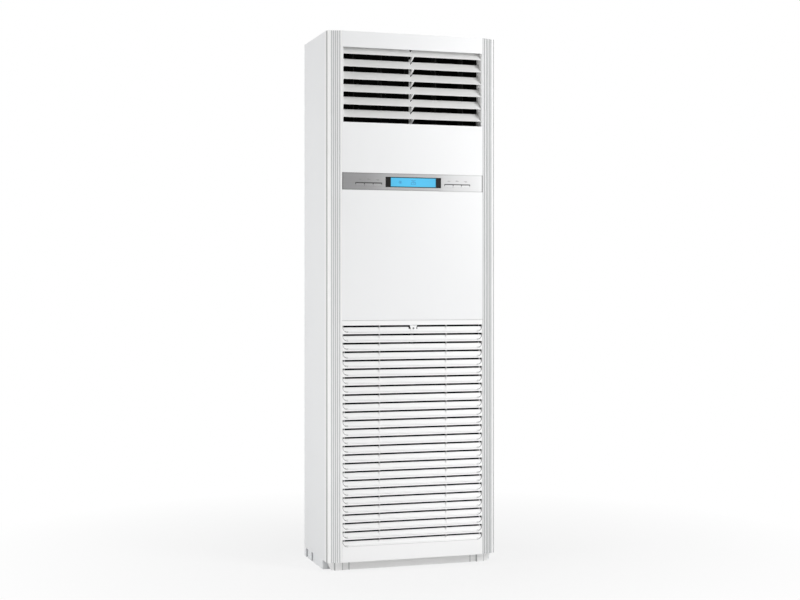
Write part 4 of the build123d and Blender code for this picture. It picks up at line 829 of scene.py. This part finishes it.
class AIRCON_OT_stage(bpy.types.Operator):
    """Floor, light and the camera of the photograph"""
    bl_idname = "aircon.stage"
    bl_label = "Stage"

    def execute(self, context):
        s = context.scene.aircon_stage
        self.floor()
        self.world(s.sky)
        self.lamp("key lamp", (1.35, -2.0, 2.0), (0.0, -0.16, 1.30), (0.9, 1.8), s.key)
        self.lamp("fill lamp", (-2.6, -0.2, 1.1), (-0.3, 0.0, 0.9), (1.4, 2.6), s.fill)
        self.lamp("low lamp", (0.15, -1.7, 0.12), (0.0, -0.16, 0.12), (1.5, 0.16), s.low)
        self.lamp("rear lamp", (0.0, 3.0, 1.5), (0.0, 0.16, 1.0), (0.8, 2.4), s.rear)
        camera = bpy.data.cameras.new("camera")
        camera.lens = s.lens
        camera.sensor_width = 36.0
        camera.shift_y = s.shift
        camera.clip_end = 60.0
        holder = bpy.data.objects.new("camera", camera)
        holder.location = s.eye
        holder.rotation_euler = (math.radians(90.0), 0.0, -s.turn)
        context.scene.collection.objects.link(holder)
        context.scene.camera = holder
        context.scene.view_settings.view_transform = "Standard"
        return {"FINISHED"}

    @staticmethod
    def seen(g):
        """1 for rays that should meet the plain white ground: camera, glossy and through glass."""
        path = g.add("ShaderNodeLightPath")
        return path["Is Camera Ray"].most(path["Is Glossy Ray"]).most(path["Is Transmission Ray"])

    def floor(self):
        """White ground that keeps the soft shadow near the cabinet and turns plain white away from it."""
        g = Graph("pale floor")
        speck = g.noise(40.0, 3.0, 0.6)
        base = g.blend(speck, (0.80, 0.80, 0.80), (0.84, 0.84, 0.84))
        shader = g.add("ShaderNodeBsdfDiffuse", {}, {"Color": base})
        white = g.add("ShaderNodeEmission", {}, {"Color": (1.0, 1.0, 1.0, 1.0), "Strength": 1.0})
        away = g.add("ShaderNodeVectorMath", {"operation": "LENGTH"}, (g.place,))["Value"]
        open_floor = ((away - 0.45) / 1.25).most(0.0).least(1.0)
        share = self.seen(g) * (0.76 + 0.24 * open_floor)
        mix = g.add("ShaderNodeMixShader", {}, (share, shader["BSDF"], white["Emission"]))
        out = g.add("ShaderNodeOutputMaterial")
        g.tree.links.new(mix["Shader"].socket, out.node.inputs["Surface"])
        grid = np.array([(-12.0, -12.0, 0.0), (12.0, -12.0, 0.0), (12.0, 12.0, 0.0), (-12.0, 12.0, 0.0)])
        mesh = bpy.data.meshes.new("floor")
        mesh.from_pydata(grid.tolist(), [], [(0, 1, 2, 3)])
        mesh.materials.append(g.material)
        floor = bpy.data.objects.new("floor", mesh)
        bpy.context.scene.collection.objects.link(floor)

    def world(self, strength):
        """Even light of a given strength, seen as white."""
        world = bpy.data.worlds.new("even sky")
        world.use_nodes = True
        tree = world.node_tree
        tree.nodes.clear()
        sky = tree.nodes.new("ShaderNodeBackground")
        sky.inputs["Color"].default_value = (1.0, 1.0, 1.0, 1.0)
        sky.inputs["Strength"].default_value = strength
        white = tree.nodes.new("ShaderNodeBackground")
        white.inputs["Color"].default_value = (1.0, 1.0, 1.0, 1.0)
        white.inputs["Strength"].default_value = 1.0
        path = tree.nodes.new("ShaderNodeLightPath")
        mix = tree.nodes.new("ShaderNodeMixShader")
        out = tree.nodes.new("ShaderNodeOutputWorld")
        seen = path.outputs["Is Camera Ray"]
        for ray in ("Is Glossy Ray", "Is Transmission Ray"):
            either = tree.nodes.new("ShaderNodeMath")
            either.operation = "MAXIMUM"
            tree.links.new(seen, either.inputs[0])
            tree.links.new(path.outputs[ray], either.inputs[1])
            seen = either.outputs["Value"]
        tree.links.new(seen, mix.inputs[0])
        tree.links.new(sky.outputs[0], mix.inputs[1])
        tree.links.new(white.outputs[0], mix.inputs[2])
        tree.links.new(mix.outputs[0], out.inputs["Surface"])
        bpy.context.scene.world = world

    @staticmethod
    def lamp(name, place, target, size, power):
        """Flat soft lamp that looks from its place to a target and is itself unseen."""
        light = bpy.data.lights.new(name, "AREA")
        light.shape = "RECTANGLE"
        light.size, light.size_y = size
        light.energy = power
        holder = bpy.data.objects.new(name, light)
        way = np.array(target) - np.array(place)
        flat = math.hypot(way[0], way[1])
        holder.location = place
        holder.rotation_euler = (math.atan2(flat, -way[2]), 0.0, math.atan2(-way[0], way[1]))
        holder.visible_camera = False
        bpy.context.scene.collection.objects.link(holder)


class AIRCON_PT_panel(bpy.types.Panel):
    """The steps that dress the cabinet"""
    bl_idname = "AIRCON_PT_panel"
    bl_label = "Air Conditioner"
    bl_space_type = "VIEW_3D"
    bl_region_type = "UI"
    bl_category = "Air Conditioner"

    def draw(self, context):
        column = self.layout.column()
        for step in STEPS:
            column.operator(step.bl_idname)


STEPS = (AIRCON_OT_finishes, AIRCON_OT_display_symbols, AIRCON_OT_key_marks, AIRCON_OT_stage)
GROUPS = (("aircon_finish", FinishSettings), ("aircon_symbol", SymbolSettings),
          ("aircon_stage", StageSettings))


def register():
    for name, group in GROUPS:
        bpy.utils.register_class(group)
        setattr(bpy.types.Scene, name, PointerProperty(type=group))
    for cls in (*STEPS, AIRCON_PT_panel):
        bpy.utils.register_class(cls)


def unregister():
    for cls in (AIRCON_PT_panel, *reversed(STEPS)):
        bpy.utils.unregister_class(cls)
    for name, group in reversed(GROUPS):
        delattr(bpy.types.Scene, name)
        bpy.utils.unregister_class(group)


def main():
    register()
    bpy.ops.aircon.finishes()
    bpy.ops.aircon.display_symbols()
    bpy.ops.aircon.key_marks()
    bpy.ops.aircon.stage()


if __name__ == "__main__":
    main()
